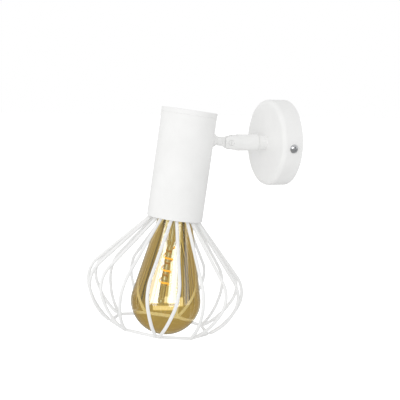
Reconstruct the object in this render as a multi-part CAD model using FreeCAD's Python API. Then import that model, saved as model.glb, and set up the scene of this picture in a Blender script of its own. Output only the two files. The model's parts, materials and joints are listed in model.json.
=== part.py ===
import FreeCAD, Part
import os
from math import acos, asin, atan2, cos, degrees, hypot, pi, radians, sin, sqrt, tan

# A wall and ceiling light: a round wall canopy, a short arm that swivels and tilts,
# a tube that holds the lampholder, and a wire cage of pointed loops round a bare bulb.
# Frame: the origin is the centre of the canopy's back on the wall, +Z is up,
# and the light stands out from the wall along -Y. Lengths are millimetres, angles degrees.
# The rest pose is the photographed one, with the head tipped a little out of plumb.

# Canopy: a pressed steel cup, open towards the wall
CANOPY_D = 80.0
CANOPY_DEPTH = 19.6
CANOPY_WALL = 1.0
CANOPY_EDGE_R = 4.0
SIDE_SCREW_SHARE = 0.47
SIDE_SCREW_DROP = 2.8
SIDE_HOLE_D = 4.4

# Mounting bracket: a steel strip behind the canopy, with two bent tabs
BRACKET_T = 1.5
BRACKET_W = 20.0
BRACKET_END_GAP = 6.5
BRACKET_CORNER_R = 3.0
TAB_W = 10.0
TAB_BEND_R = 2.0
TAB_BEYOND_SCREW = 4.0
TAB_CLEARANCE = 0.3
WALL_SLOT_L = 9.0
WALL_SLOT_W = 4.5
WALL_SLOT_END = 4.0
CABLE_HOLE_D = 12.0
EAR_W = 14.0
EAR_END_GAP = 7.0

# Screws and nuts: metric, with plain shanks in place of the threads
M4_SHANK_D = 3.9
M4_TAP_D = 4.0
M4_HEAD_D = 8.0
M4_HEAD_H = 2.6
SIDE_SCREW_L = 7.0
EARTH_SCREW_L = 1.4
EARTH_X = 13.0
EARTH_UP = 4.0
WASHER_T = 0.8
EARTH_WASHER_D = 9.0
CROSS_W = 1.1
CROSS_L = 4.4
CROSS_DEPTH = 1.2
M3_SHANK_D = 2.9
M3_TAP_D = 3.0
M3_HEAD_D = 5.0
M3_HEAD_H = 1.6
M3_SLOT_W = 0.8
M3_SLOT_DEPTH = 0.7

# Hollow threaded rod and its nuts, used at the canopy, the neck and the lampholder
ROD_D = 10.0
ROD_HOLE_D = 10.2
ROD_NUT_FLATS = 14.0
ROD_NUT_T = 3.0
ROD_NUT_CHAMFER = 0.6
LOCK_WASHER_D = 17.0
LOCK_TEETH = 10
LOCK_NOTCH_W = 2.0
LOCK_NOTCH_DEPTH = 1.6

# Terminal block on the bracket's ear: three poles, two clamp screws each
BLOCK_POLES = 3
BLOCK_PITCH = 8.4
BLOCK_H = 15.0
BLOCK_BASE_T = 5.0
BLOCK_POLE_T = 6.0
BLOCK_POLE_W = 7.0
BLOCK_TURRET_D = 5.0
BLOCK_TURRET_H = 1.5
BLOCK_SCREW_SPAN = 8.0
BLOCK_SCREW_D = 3.4
BLOCK_SCREW_L = 4.0
BLOCK_WIRE_D = 3.0
BLOCK_FIX_D = 3.4
BLOCK_FIX_HEAD_D = 5.2
BLOCK_FIX_HEAD_H = 1.8

# Swivel: a fixed bush on the canopy, with the arm's hollow spigot turning in it
BUSH_D = 13.5
BUSH_L = 7.9
BUSH_THREAD_L = 6.0
BUSH_CHAMFER = 0.5
SPIGOT_D = 7.0
SPIGOT_BORE_D = 4.6
RUN_CLEARANCE = 0.05
SWIVEL_GAP = 0.15
STOP_PIN_D = 1.4
STOP_PIN_OUT = 1.1
STOP_PIN_IN = 3.0
STOP_WEB_ANGLE = 12.0
STOP_GROOVE_DEPTH = 1.4
STOP_GROOVE_GAP = 0.1
THRUST_T = 0.6
THRUST_D = 11.0
CLIP_T = 0.8
CLIP_D = 10.4
CLIP_GROOVE_DEPTH = 0.5
CLIP_MOUTH_SHARE = 0.55
SPIGOT_END_L = 1.0

# Arm: a round barrel that ends in a slotted fork, and the pivot through it
ARM_D = 15.4
ARM_REAR_CHAMFER = 0.7
ARM_STRAIGHT_L = 20.5
PIVOT_FROM_CANOPY = 36.3
ARM_NOSE = 4.6
ARM_NOSE_D = 10.4
ARM_SHOULDER_D = 13.6
FORK_SLOT_BEHIND = 8.0
PIVOT_WASHER_D = 9.0
PIVOT_WASHER_T = 0.4
PIVOT_NUT_FLATS = 5.5
PIVOT_NUT_T = 1.8
NUT_POCKET_GAP = 0.15
HEAD_POCKET_GAP = 0.1

# Knuckle and neck: a flat tongue in the fork, then a round neck and a collar on the tube
TONGUE_T = 5.0
TONGUE_R = 6.3
TONGUE_LEAN_SHARE = 0.63
NECK_START = 8.2
NECK_D = 8.6
NECK_EDGE = 0.6
NECK_FLARE_START = 12.8
COLLAR_D = 11.8
COLLAR_L = 2.6
NECK_REACH = 17.3
NECK_THREAD_L = 9.0
NECK_BORE_D = 4.4
LEAD_EXIT_D = 3.6

# Tube and its end cap
TUBE_D = 50.8
TUBE_WALL = 1.0
TUBE_TOTAL_L = 98.7
TUBE_EDGE = 0.3
END_CAP_H = 4.35
END_CAP_T = 1.6
END_CAP_EDGE_R = 0.8
END_CAP_SPIGOT_L = 8.0
END_CAP_SPIGOT_WALL = 1.2
SLIP_FIT = 0.05

# Pose at rest
HEAD_TILT = 6.9

# Lampholder bracket: an L of strip steel clamped inside the tube by the neck's nut
STRAP_W = 15.0
STRAP_T = 1.5
STRAP_BEND_R = 2.0
STRAP_MARGIN = 0.3
STRAP_END_GAP = 3.05
STRAP_LEG_DROP = 8.2
STRAP_PAST_CENTRE = 8.8

# Lampholder: one ceramic body for an E27 bulb, hung from the bracket on a hollow rod
HOLDER_D = 38.0
HOLDER_WAIST_D = 34.0
HOLDER_H = 48.3
HOLDER_SKIRT_H = 22.0
HOLDER_STEP_H = 3.0
HOLDER_DOME_R = 8.0
HOLDER_LIP_R = 1.2
HOLDER_BORE_D = 29.8
HOLDER_BORE_DEPTH = 29.0
CHAMBER_D = 13.0
CHAMBER_FLOOR_T = 5.0
CHAMBER_H = 7.0
TERMINAL_POCKET_H = 5.2
TERMINAL_POCKET_W = 8.0
TERMINAL_SCREW_L = 5.0
ROD_BORE_D = 7.6
HOLDER_ROD_BELOW = 7.0
HOLDER_ROD_ABOVE = 5.0
HOLDER_NUT_T = 2.5

# E27 thread, drawn as separate rings at the thread's pitch
THREAD_PITCH = 3.629
THREAD_CREST_D = 26.4
THREAD_ROOT_D = 24.3
SHELL_RINGS = 6
SHELL_CLEARANCE = 0.25
SHELL_T = 0.45
SHELL_TOP_HOLE_D = 15.0
CONTACT_W = 5.0
CONTACT_T = 0.6
CONTACT_BEND_R = 1.2
CONTACT_REACH = 4.5
RIVET_D = 2.4
RIVET_HEAD_D = 4.0
RIVET_HEAD_H = 0.5
RIVET_L = 4.0

# Bulb: a pear of 64 mm, with its filament wound round a glass stem
BULB_D = 64.0
BULB_LENGTH = 140.0
BULB_SHOULDER_R = 26.3
BULB_WIDEST_H = 28.55
BULB_WALL = 0.8
BULB_NECK_D = 25.1
BULB_TUCK_R = 2.8
BULB_TUCK_ANGLE = 70.0
BULB_TUCK_DROP = 5.6
BULB_CAP_RINGS = 5
BULB_CAP_T = 0.4
BULB_CAP_SKIRT_L = 3.6
BULB_CAP_SKIRT_D = 26.0
INSULATOR_H = 2.6
INSULATOR_D = 21.0
TIP_D = 9.5
TIP_H = 1.4
STEM_TUBE_D = 9.0
STEM_ROD_D = 3.0
STEM_FLARE_L = 10.0
STEM_PINCH_DROP = 35.0
STEM_BUTTON_H = 28.5
STEM_BUTTON_D = 5.0
FILAMENT_D = 1.6
FILAMENT_COIL_D = 8.6
FILAMENT_TURNS = 4
FILAMENT_CORNERS = 4
FILAMENT_TOP_GAP = 3.0
FILAMENT_END_GAP = 4.0
SUPPORT_D = 0.6
SUPPORT_GAP = 0.35

# Cage: pointed loops of wire under a pressed collar, with a straight-sided ring at the foot
WIRE_D = 3.0
PETALS = 9
FIRST_PETAL_ANGLE = -22.0
COLLAR_RING_BOTTOM = 4.0
COLLAR_RING_H = 10.0
COLLAR_RING_WALL = 1.0
COLLAR_FLANGE_T = 1.2
COLLAR_FLANGE_BORE_D = 39.4
LEG_TOP_R = 21.2
LEG_TOP_SPREAD = 2.4
LEG_BEND_R = 3.2
SHOULDER_R = 74.2
SHOULDER_DROP = 58.5
SHOULDER_SPREAD = 14.8
LOW_R = 60.4
LOW_DROP = 89.4
LOW_SPREAD = 6.1
TIP_R = 42.6
TIP_DROP = 102.6
TIP_BEND_R = 2.2
# the share of a straight run that the bend at one of its ends takes up
LEG_LOWER_SHARE = 0.9
BELLY_UPPER_SHARE = 0.49
BELLY_LOWER_SHARE = 0.5
FOOT_UPPER_SHARE = 0.63
FOOT_TIP_SHARE = 0.35
WELD_GAP = 0.05
RING_UNDER_TIP_ANGLE = 25.0
RING_BEND_R = 4.0

# One overrun for all cuts, and a hair of a length below which a run is left out
OVERRUN = 1.0
HAIR = 0.0001
RIGHT_ANGLE = 90.0

V = FreeCAD.Vector
ORIGIN = V(0, 0, 0)
X_AXIS = V(1, 0, 0)
Y_AXIS = V(0, 1, 0)
Z_AXIS = V(0, 0, 1)
OUT = V(0, -1, 0)

PIVOT_OUT = CANOPY_DEPTH + PIVOT_FROM_CANOPY
PIVOT = V(0, -PIVOT_OUT, 0)
TUBE_R = TUBE_D / 2
TUBE_INNER_R = TUBE_R - TUBE_WALL
PIVOT_TO_AXIS = TUBE_R + NECK_REACH
TUBE_L = TUBE_TOTAL_L - END_CAP_H
STRAP_ABOVE_NECK = LOCK_WASHER_D / 2 + STRAP_MARGIN
NECK_HEIGHT = TUBE_L - END_CAP_SPIGOT_L - STRAP_END_GAP - STRAP_ABOVE_NECK
STRAP_TOP = NECK_HEIGHT - LOCK_WASHER_D / 2 - STRAP_LEG_DROP
STRAP_UNDER = STRAP_TOP - STRAP_T
HOLDER_BOTTOM = STRAP_UNDER - HOLDER_H
HOLDER_FLOOR = HOLDER_BOTTOM + HOLDER_BORE_DEPTH
CHAMBER_BOTTOM = HOLDER_FLOOR + CHAMBER_FLOOR_T
CHAMBER_TOP = CHAMBER_BOTTOM + CHAMBER_H


# Helpers

def write(name, shape):
    """Keeps one named sub-part as a STEP file."""
    assert shape.isValid(), name
    shape.exportStep(os.path.join("parts", name + ".step"))
    print(name, "solids", len(shape.Solids), "volume", round(shape.Volume, 1))


def rod(diameter, length, start, direction):
    """A plain round bar from a start point along a direction."""
    return Part.makeCylinder(diameter / 2, length, start, direction)


def block(low, high):
    """A box between two corners."""
    size = high - low
    return Part.makeBox(size.x, size.y, size.z, low)


def outline(points, place):
    """A closed face from points; an item of two points is an arc through the first to the second."""
    edges = []
    here = place(*points[0])
    for item in points[1:] + [points[0]]:
        if isinstance(item[0], tuple):
            middle = place(*item[0])
            there = place(*item[1])
            edges.append(Part.Arc(here, middle, there).toShape())
        else:
            there = place(*item)
            if (there - here).Length > HAIR:
                edges.append(Part.LineSegment(here, there).toShape())
        here = there
    return Part.Face(Part.Wire(edges))


def turned_out(points):
    """Turns an outline of (radius, distance out from the wall) about the arm's axis."""
    face = outline(points, lambda radius, out: V(radius, -out, 0))
    return face.revolve(ORIGIN, Y_AXIS, 360)


def turned_up(points):
    """Turns an outline of (radius, height) about the tube's axis, in the head's own frame."""
    face = outline(points, lambda radius, height: V(radius, 0, height))
    return face.revolve(ORIGIN, Z_AXIS, 360)


def corner_arc(centre, radius, start_angle, end_angle):
    """The middle and end points of an arc about a centre, for use in an outline."""
    middle = radians((start_angle + end_angle) / 2)
    end = radians(end_angle)
    return ((centre[0] + radius * cos(middle), centre[1] + radius * sin(middle)),
            (centre[0] + radius * cos(end), centre[1] + radius * sin(end)))


def walked_back(items):
    """The same outline items from the last one's end back to the first point."""
    back = []
    for before, item in zip(items[-2::-1], items[:0:-1]):
        there = before[1] if isinstance(before[0], tuple) else before
        back.append((item[0], there) if isinstance(item[0], tuple) else there)
    return back


def bent_path(points, radii, closed=False):
    """Straight runs joined by tangent arcs, one arc of the given radius at each bend."""
    count = len(points)
    bends = range(count) if closed else range(1, count - 1)
    arcs = []
    for number, index in enumerate(bends):
        corner = points[index]
        back = (points[index - 1] - corner).normalize()
        ahead = (points[(index + 1) % count] - corner).normalize()
        half = acos(back.dot(ahead)) / 2
        radius = radii[number]
        inward = (back + ahead).normalize()
        middle = corner + inward * (radius / sin(half) - radius)
        arcs.append((corner + back * (radius / tan(half)), middle, corner + ahead * (radius / tan(half))))
    edges = []
    here = arcs[-1][2] if closed else points[0]
    for start, middle, end in arcs:
        if (start - here).Length > HAIR:
            edges.append(Part.LineSegment(here, start).toShape())
        edges.append(Part.Arc(start, middle, end).toShape())
        here = end
    if not closed:
        edges.append(Part.LineSegment(here, points[-1]).toShape())
    return Part.Wire(edges)


def swept(path, section):
    """Carries a closed section along a path and caps it."""
    shell = Part.BRepOffsetAPI.MakePipeShell(path)
    shell.add(section)
    shell.build()
    shell.makeSolid()
    return shell.shape()


def wire_rod(path, diameter):
    """A round wire along a path."""
    start = path.Edges[0]
    where = start.valueAt(start.FirstParameter)
    along = start.tangentAt(start.FirstParameter)
    return swept(path, Part.Wire(Part.Circle(where, along, diameter / 2).toShape()))


def strip_along(points, radii, width, thickness, across):
    """Sheet strip bent along a path, with its width along one direction."""
    path = bent_path(points, radii)
    along = (points[1] - points[0]).normalize()
    side = across * (width / 2)
    face = along.cross(across) * (thickness / 2)
    start = points[0]
    corners = [start - side - face, start + side - face, start + side + face, start - side + face]
    return swept(path, Part.makePolygon(corners + corners[:1]))


def hexagon(flats, thickness, start, direction):
    """A hexagonal prism, with two corners level with the X axis or, on that axis, with Z."""
    across = Z_AXIS if abs(direction.x) > abs(direction.z) + abs(direction.y) else X_AXIS
    other = direction.cross(across)
    corner_r = flats / sqrt(3)
    turn = pi / 3
    corners = [start + across * (corner_r * cos(turn * i)) + other * (corner_r * sin(turn * i))
               for i in range(6)]
    return Part.Face(Part.makePolygon(corners + corners[:1])).extrude(direction * thickness)


def rod_nut(thickness, start, direction):
    """A thin hexagonal nut for the hollow rod, its corners chamfered on the outer side."""
    nut = hexagon(ROD_NUT_FLATS, thickness, start, direction)
    corner_r = ROD_NUT_FLATS / sqrt(3)
    end = start + direction * thickness
    cone = Part.makeCone(corner_r + thickness - ROD_NUT_CHAMFER / 2, corner_r - ROD_NUT_CHAMFER / 2,
                         thickness, start, direction)
    hole = rod(ROD_HOLE_D, thickness + 2 * OVERRUN, start - direction * OVERRUN, direction)
    lead_in = Part.makeCone(ROD_HOLE_D / 2, ROD_HOLE_D / 2 + ROD_NUT_CHAMFER, ROD_NUT_CHAMFER,
                            end - direction * ROD_NUT_CHAMFER, direction)
    return nut.common(cone).cut(hole).cut(lead_in)


def lock_washer(start, direction):
    """A washer for the hollow rod, with notches round its rim."""
    washer = rod(LOCK_WASHER_D, WASHER_T, start, direction)
    washer = washer.cut(rod(ROD_HOLE_D, WASHER_T + 2 * OVERRUN, start - direction * OVERRUN, direction))
    notch_reach = LOCK_WASHER_D / 2 - LOCK_NOTCH_DEPTH
    notch = block(V(notch_reach, -LOCK_NOTCH_W / 2, -OVERRUN),
                  V(LOCK_WASHER_D, LOCK_NOTCH_W / 2, WASHER_T + OVERRUN))
    to_place = FreeCAD.Placement(start, FreeCAD.Rotation(Z_AXIS, direction))
    for i in range(LOCK_TEETH):
        turned = notch.rotated(ORIGIN, Z_AXIS, i * 360 / LOCK_TEETH)
        turned.Placement = to_place.multiply(turned.Placement)
        washer = washer.cut(turned)
    return washer


def cross_recess(top, direction, across):
    """The cutter for a cross recess in a screw head's top."""
    other = direction.cross(across)
    bars = []
    for long_way, short_way in ((across, other), (other, across)):
        a = long_way * (CROSS_L / 2)
        b = short_way * (CROSS_W / 2)
        base = top - direction * CROSS_DEPTH
        ring = [base - a - b, base + a - b, base + a + b, base - a + b]
        bars.append(Part.Face(Part.makePolygon(ring + ring[:1])).extrude(direction * (CROSS_DEPTH + OVERRUN)))
    return bars[0].fuse(bars[1])


def pan_screw(seat, direction, across, shank_l):
    """A cross-headed M4 pan screw: its head rises from the seat, its shank goes down into it."""
    radius = M4_HEAD_D / 2
    crown = (radius * radius + M4_HEAD_H * M4_HEAD_H) / (2 * M4_HEAD_H)
    centre = seat - direction * (crown - M4_HEAD_H)
    dome = Part.makeSphere(crown, centre)
    head = rod(M4_HEAD_D, M4_HEAD_H, seat, direction).common(dome)
    shank = rod(M4_SHANK_D, shank_l, seat - direction * shank_l, direction)
    return head.fuse(shank).cut(cross_recess(seat + direction * M4_HEAD_H, direction, across))


def slotted_screw(head_top, direction, head_d, head_h, shank_d, length, across):
    """A cheese-head screw with a straight slot; length is from the head's top to the shank's end."""
    head = rod(head_d, head_h, head_top - direction * head_h, direction)
    shank = rod(shank_d, length, head_top - direction * length, direction)
    a = across * head_d
    b = direction.cross(across) * (M3_SLOT_W / 2)
    base = head_top - direction * M3_SLOT_DEPTH
    ring = [base - a - b, base + a - b, base + a + b, base - a + b]
    slot = Part.Face(Part.makePolygon(ring + ring[:1])).extrude(direction * (M3_SLOT_DEPTH + OVERRUN))
    return head.fuse(shank).cut(slot)


def on_head(shape):
    """Moves a shape from the head's own frame to where the tilted head carries it."""
    tilt = FreeCAD.Rotation(X_AXIS, -HEAD_TILT)
    pivot_in_head = V(0, PIVOT_TO_AXIS, NECK_HEIGHT)
    moved = shape.copy()
    carry = FreeCAD.Placement(PIVOT - tilt.multVec(pivot_in_head), tilt)
    moved.Placement = carry.multiply(moved.Placement)
    return moved


# Canopy side: everything that stays on the wall

CANOPY_R = CANOPY_D / 2
CANOPY_INNER_R = CANOPY_R - CANOPY_WALL
SIDE_SCREW_OUT = CANOPY_DEPTH * SIDE_SCREW_SHARE
BRACKET_PLATE_L = CANOPY_D - 2 * BRACKET_END_GAP
WALL_SLOT_SPACING = BRACKET_PLATE_L - WALL_SLOT_L - 2 * WALL_SLOT_END
EAR_DROP = CANOPY_INNER_R - BRACKET_W / 2 - EAR_END_GAP
TAB_LOWEST = SIDE_SCREW_DROP + TAB_W / 2
TAB_X = sqrt(CANOPY_INNER_R ** 2 - TAB_LOWEST ** 2) - TAB_CLEARANCE


def canopy():
    """The cup: a flat face, a small rounded front edge and a plain rim on the wall."""
    inner_edge = CANOPY_EDGE_R - CANOPY_WALL
    front = CANOPY_DEPTH
    cup = turned_out([
        (ROD_HOLE_D / 2, front),
        (CANOPY_R - CANOPY_EDGE_R, front),
        corner_arc((CANOPY_R - CANOPY_EDGE_R, front - CANOPY_EDGE_R), CANOPY_EDGE_R, 90, 0),
        (CANOPY_R, 0),
        (CANOPY_INNER_R, 0),
        (CANOPY_INNER_R, front - CANOPY_EDGE_R),
        corner_arc((CANOPY_R - CANOPY_EDGE_R, front - CANOPY_EDGE_R), inner_edge, 0, 90),
        (ROD_HOLE_D / 2, front - CANOPY_WALL)])
    across = rod(SIDE_HOLE_D, 2 * CANOPY_D, V(-CANOPY_D, -SIDE_SCREW_OUT, -SIDE_SCREW_DROP), X_AXIS)
    return cup.cut(across)


def mounting_bracket():
    """The wall strip: a wide slotted middle, two tapped tabs bent forward, and a tapped ear below."""
    half_l = BRACKET_PLATE_L / 2
    half_w = BRACKET_W / 2
    plate = block(V(-half_l, -BRACKET_T, -half_w), V(half_l, 0, half_w))
    upright = [e for e in plate.Edges if abs(e.tangentAt(e.FirstParameter).y) > 1 - HAIR]
    plate = plate.makeFillet(BRACKET_CORNER_R, upright)
    middle = BRACKET_T / 2
    tab_end = SIDE_SCREW_OUT + TAB_BEYOND_SCREW
    x = TAB_X - middle
    z = -SIDE_SCREW_DROP
    strip = strip_along([V(-x, -tab_end, z), V(-x, -middle, z), V(x, -middle, z), V(x, -tab_end, z)],
                        [TAB_BEND_R, TAB_BEND_R], TAB_W, BRACKET_T, Z_AXIS)
    ear_bottom = -half_w - EAR_DROP
    ear = block(V(-EAR_W / 2, -BRACKET_T, ear_bottom), V(EAR_W / 2, 0, 0))
    low_edges = [e for e in ear.Edges
                 if abs(e.tangentAt(e.FirstParameter).y) > 1 - HAIR and e.CenterOfMass.z < ear_bottom + HAIR]
    ear = ear.makeFillet(BRACKET_CORNER_R, low_edges)
    bracket = plate.fuse([strip, ear]).removeSplitter()
    through = BRACKET_T + 2 * OVERRUN
    for side in (-1, 1):
        centre_x = side * WALL_SLOT_SPACING / 2
        run = (WALL_SLOT_L - WALL_SLOT_W) / 2
        slot = block(V(centre_x - run, -through + OVERRUN, -WALL_SLOT_W / 2),
                     V(centre_x + run, OVERRUN, WALL_SLOT_W / 2))
        for end in (-run, run):
            slot = slot.fuse(rod(WALL_SLOT_W, through, V(centre_x + end, OVERRUN, 0), OUT))
        bracket = bracket.cut(slot)
        tab_hole = rod(M4_TAP_D, BRACKET_T + 2 * TAB_BEND_R,
                       V(side * (TAB_X + OVERRUN), -SIDE_SCREW_OUT, z), X_AXIS * -side)
        bracket = bracket.cut(tab_hole)
    bracket = bracket.cut(rod(CABLE_HOLE_D, through, V(0, OVERRUN, 0), OUT))
    bracket = bracket.cut(rod(M4_TAP_D, through, V(EARTH_X, OVERRUN, EARTH_UP), OUT))
    return bracket.cut(rod(M3_TAP_D, through, V(0, OVERRUN, BLOCK_Z), OUT))


BLOCK_Z = -BRACKET_W / 2 - EAR_DROP / 2
BLOCK_FACE_OUT = BRACKET_T + BLOCK_BASE_T


def canopy_side_screws():
    """Two cross-headed screws through the canopy's sides into the bracket's tabs."""
    pair = []
    for side in (-1, 1):
        seat = V(side * CANOPY_R, -SIDE_SCREW_OUT, -SIDE_SCREW_DROP)
        pair.append(pan_screw(seat, X_AXIS * side, Z_AXIS, SIDE_SCREW_L))
    return Part.makeCompound(pair)


def pole_places():
    """The six clamp places: pole X, clamp Z, and the side that its wire comes in from."""
    places = []
    for i in range(BLOCK_POLES):
        x = (i - (BLOCK_POLES - 1) / 2) * BLOCK_PITCH
        for side in (-1, 1):
            places.append((x, BLOCK_Z + side * BLOCK_SCREW_SPAN / 2, side))
    return places


def terminal_block():
    """A moulded base with a hump and a screw turret for each clamp, and a wire way into each."""
    half_w = BLOCK_POLES * BLOCK_PITCH / 2
    half_h = BLOCK_H / 2
    body = block(V(-half_w, -BLOCK_FACE_OUT, BLOCK_Z - half_h), V(half_w, -BRACKET_T, BLOCK_Z + half_h))
    front = BLOCK_FACE_OUT + BLOCK_POLE_T
    near = BLOCK_FIX_HEAD_D / 2 + SLIP_FIT
    for x, z, side in pole_places():
        ends = sorted((BLOCK_Z + side * near, BLOCK_Z + side * half_h))
        hump = block(V(x - BLOCK_POLE_W / 2, -front, ends[0]), V(x + BLOCK_POLE_W / 2, -BRACKET_T, ends[1]))
        body = body.fuse([hump, rod(BLOCK_TURRET_D, BLOCK_TURRET_H, V(x, -front, z), OUT)])
    for x, z, side in pole_places():
        sink = rod(BLOCK_SCREW_D + 2 * SLIP_FIT, BLOCK_TURRET_H + BLOCK_SCREW_L + OVERRUN,
                   V(x, -front - BLOCK_TURRET_H - OVERRUN, z), Y_AXIS)
        wire_way = rod(BLOCK_WIRE_D, half_h, V(x, -BLOCK_FACE_OUT, z), Z_AXIS * side)
        body = body.cut(sink).cut(wire_way)
    fix = rod(BLOCK_FIX_D, 2 * BLOCK_H, V(0, BLOCK_H, BLOCK_Z), OUT)
    return body.removeSplitter().cut(fix)


def terminal_clamp_screws():
    """The block's clamp screws, sunk in their turrets."""
    top = BLOCK_FACE_OUT + BLOCK_POLE_T + BLOCK_TURRET_H / 2
    screws = []
    for x, z, side in pole_places():
        screws.append(slotted_screw(V(x, -top, z), OUT, BLOCK_SCREW_D, BLOCK_SCREW_L,
                                    BLOCK_SCREW_D, BLOCK_SCREW_L, X_AXIS))
    return Part.makeCompound(screws)


def terminal_block_screw():
    """The screw that holds the terminal block on the bracket's ear."""
    length = BLOCK_FIX_HEAD_H + BLOCK_FACE_OUT
    return slotted_screw(V(0, -length, BLOCK_Z), OUT, BLOCK_FIX_HEAD_D, BLOCK_FIX_HEAD_H,
                         M3_SHANK_D, length, X_AXIS)


def earth_washer():
    """The washer under the earth screw's head."""
    start = V(EARTH_X, -BRACKET_T, EARTH_UP)
    washer = rod(EARTH_WASHER_D, WASHER_T, start, OUT)
    return washer.cut(rod(M4_TAP_D, WASHER_T + 2 * OVERRUN, start - OUT * OVERRUN, OUT))


def earth_screw():
    """The earth screw, into a tapped hole in the bracket."""
    return pan_screw(V(EARTH_X, -BRACKET_T - WASHER_T, EARTH_UP), OUT, X_AXIS, WASHER_T + EARTH_SCREW_L)


BUSH_FRONT = CANOPY_DEPTH + BUSH_L
BUSH_BACK = CANOPY_DEPTH - BUSH_THREAD_L
BUSH_BORE_R = SPIGOT_D / 2 + RUN_CLEARANCE
STOP_PIN_R = (BUSH_BORE_R + BUSH_D / 2) / 2


def swivel_bush():
    """The fixed collar in front of the canopy; its thread passes through the canopy's face."""
    outer = BUSH_D / 2
    thread = ROD_D / 2
    bush = turned_out([
        (BUSH_BORE_R, BUSH_FRONT),
        (outer - BUSH_CHAMFER, BUSH_FRONT),
        (outer, BUSH_FRONT - BUSH_CHAMFER),
        (outer, CANOPY_DEPTH),
        (thread, CANOPY_DEPTH),
        (thread, BUSH_BACK + BUSH_CHAMFER),
        (thread - BUSH_CHAMFER, BUSH_BACK),
        (BUSH_BORE_R, BUSH_BACK)])
    seat = rod(STOP_PIN_D, STOP_PIN_IN, V(0, -BUSH_FRONT + STOP_PIN_IN, STOP_PIN_R), OUT)
    return bush.cut(seat)


def swivel_stop_pin():
    """A small pin in the bush's face; it stops the arm before the leads inside can wind up."""
    return rod(STOP_PIN_D, STOP_PIN_IN + STOP_PIN_OUT, V(0, -BUSH_FRONT + STOP_PIN_IN, STOP_PIN_R), OUT)


def swivel_bush_washer():
    """The notched washer behind the canopy's face."""
    return lock_washer(V(0, -CANOPY_DEPTH + CANOPY_WALL, 0), Y_AXIS)


def swivel_bush_nut():
    """The nut that clamps the bush to the canopy."""
    return rod_nut(ROD_NUT_T, V(0, -CANOPY_DEPTH + CANOPY_WALL + WASHER_T, 0), Y_AXIS)


# Arm: everything that turns about the arm's own axis

ARM_REAR = BUSH_FRONT + SWIVEL_GAP
SLOT_FLOOR = PIVOT_OUT - FORK_SLOT_BEHIND
SLOT_HALF = TONGUE_T / 2 + PIVOT_WASHER_T + RUN_CLEARANCE
THRUST_BACK = BUSH_BACK - THRUST_T - RUN_CLEARANCE
CLIP_BACK = THRUST_BACK - CLIP_T
SPIGOT_END = CLIP_BACK - RUN_CLEARANCE - SPIGOT_END_L
PIVOT_HEAD_SEAT = SLOT_HALF + (ARM_SHOULDER_D / 2 - SLOT_HALF) / 2


def arm_barrel():
    """The barrel with its rear spigot, stop groove and slotted, rounded fork."""
    radius = ARM_D / 2
    shoulder = PIVOT_OUT
    nose = PIVOT_OUT + ARM_NOSE
    straight_end = ARM_REAR + ARM_STRAIGHT_L
    spigot = SPIGOT_D / 2
    groove = spigot - CLIP_GROOVE_DEPTH
    barrel = turned_out([
        (0, nose),
        (ARM_NOSE_D / 2, nose),
        ((ARM_SHOULDER_D / 2, shoulder), (radius, straight_end)),
        (radius, ARM_REAR + ARM_REAR_CHAMFER),
        (radius - ARM_REAR_CHAMFER, ARM_REAR),
        (spigot, ARM_REAR),
        (spigot, THRUST_BACK + RUN_CLEARANCE),
        (groove, THRUST_BACK + RUN_CLEARANCE),
        (groove, CLIP_BACK - RUN_CLEARANCE),
        (spigot, CLIP_BACK - RUN_CLEARANCE),
        (spigot, SPIGOT_END),
        (0, SPIGOT_END)])
    bore_l = SLOT_FLOOR - SPIGOT_END + 2 * OVERRUN
    barrel = barrel.cut(rod(SPIGOT_BORE_D, bore_l, V(0, -SPIGOT_END + OVERRUN, 0), OUT))
    barrel = barrel.cut(block(V(-SLOT_HALF, -nose - OVERRUN, -radius - OVERRUN),
                              V(SLOT_HALF, -SLOT_FLOOR, radius + OVERRUN)))
    barrel = barrel.cut(rod(M3_SHANK_D + 2 * RUN_CLEARANCE, 2 * ARM_D, V(-ARM_D, -PIVOT_OUT, 0), X_AXIS))
    head_pocket = rod(M3_HEAD_D + 2 * HEAD_POCKET_GAP, ARM_D, V(PIVOT_HEAD_SEAT, -PIVOT_OUT, 0), X_AXIS)
    nut_seat = V(-PIVOT_HEAD_SEAT, -PIVOT_OUT, 0)
    nut_pocket = hexagon(PIVOT_NUT_FLATS + 2 * NUT_POCKET_GAP, ARM_D, nut_seat, X_AXIS * -1)
    barrel = barrel.cut(head_pocket).cut(nut_pocket)
    return barrel.cut(stop_groove())


def stop_groove():
    """The cutter for the groove that the stop pin runs in: a ring less one narrow web below."""
    half_width = STOP_PIN_D / 2 + STOP_GROOVE_GAP
    start = V(0, -ARM_REAR + OVERRUN, 0)
    depth = STOP_GROOVE_DEPTH + OVERRUN
    ring = rod(2 * (STOP_PIN_R + half_width), depth, start, OUT)
    ring = ring.cut(rod(2 * (STOP_PIN_R - half_width), depth, start, OUT))
    reach = ARM_D
    spread = reach * tan(radians(STOP_WEB_ANGLE / 2))
    corners = [V(0, start.y, 0), V(-spread, start.y, -reach), V(spread, start.y, -reach)]
    web = Part.Face(Part.makePolygon(corners + corners[:1])).extrude(OUT * depth)
    return ring.cut(web)


def swivel_thrust_washer():
    """The washer between the bush's back end and the spring clip."""
    start = V(0, -THRUST_BACK, 0)
    washer = rod(THRUST_D, THRUST_T, start, OUT)
    return washer.cut(rod(2 * BUSH_BORE_R, THRUST_T + 2 * OVERRUN, start - OUT * OVERRUN, OUT))


def swivel_clip():
    """An open spring clip in the spigot's groove, which keeps the arm in the bush."""
    start = V(0, -CLIP_BACK, 0)
    groove_d = SPIGOT_D - 2 * CLIP_GROOVE_DEPTH
    clip = rod(CLIP_D, CLIP_T, start, OUT)
    clip = clip.cut(rod(groove_d + 2 * RUN_CLEARANCE, CLIP_T + 2 * OVERRUN, start - OUT * OVERRUN, OUT))
    mouth = groove_d * CLIP_MOUTH_SHARE
    return clip.cut(block(V(-mouth / 2, start.y - CLIP_T - OVERRUN, 0),
                          V(mouth / 2, start.y + OVERRUN, CLIP_D)))


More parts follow.
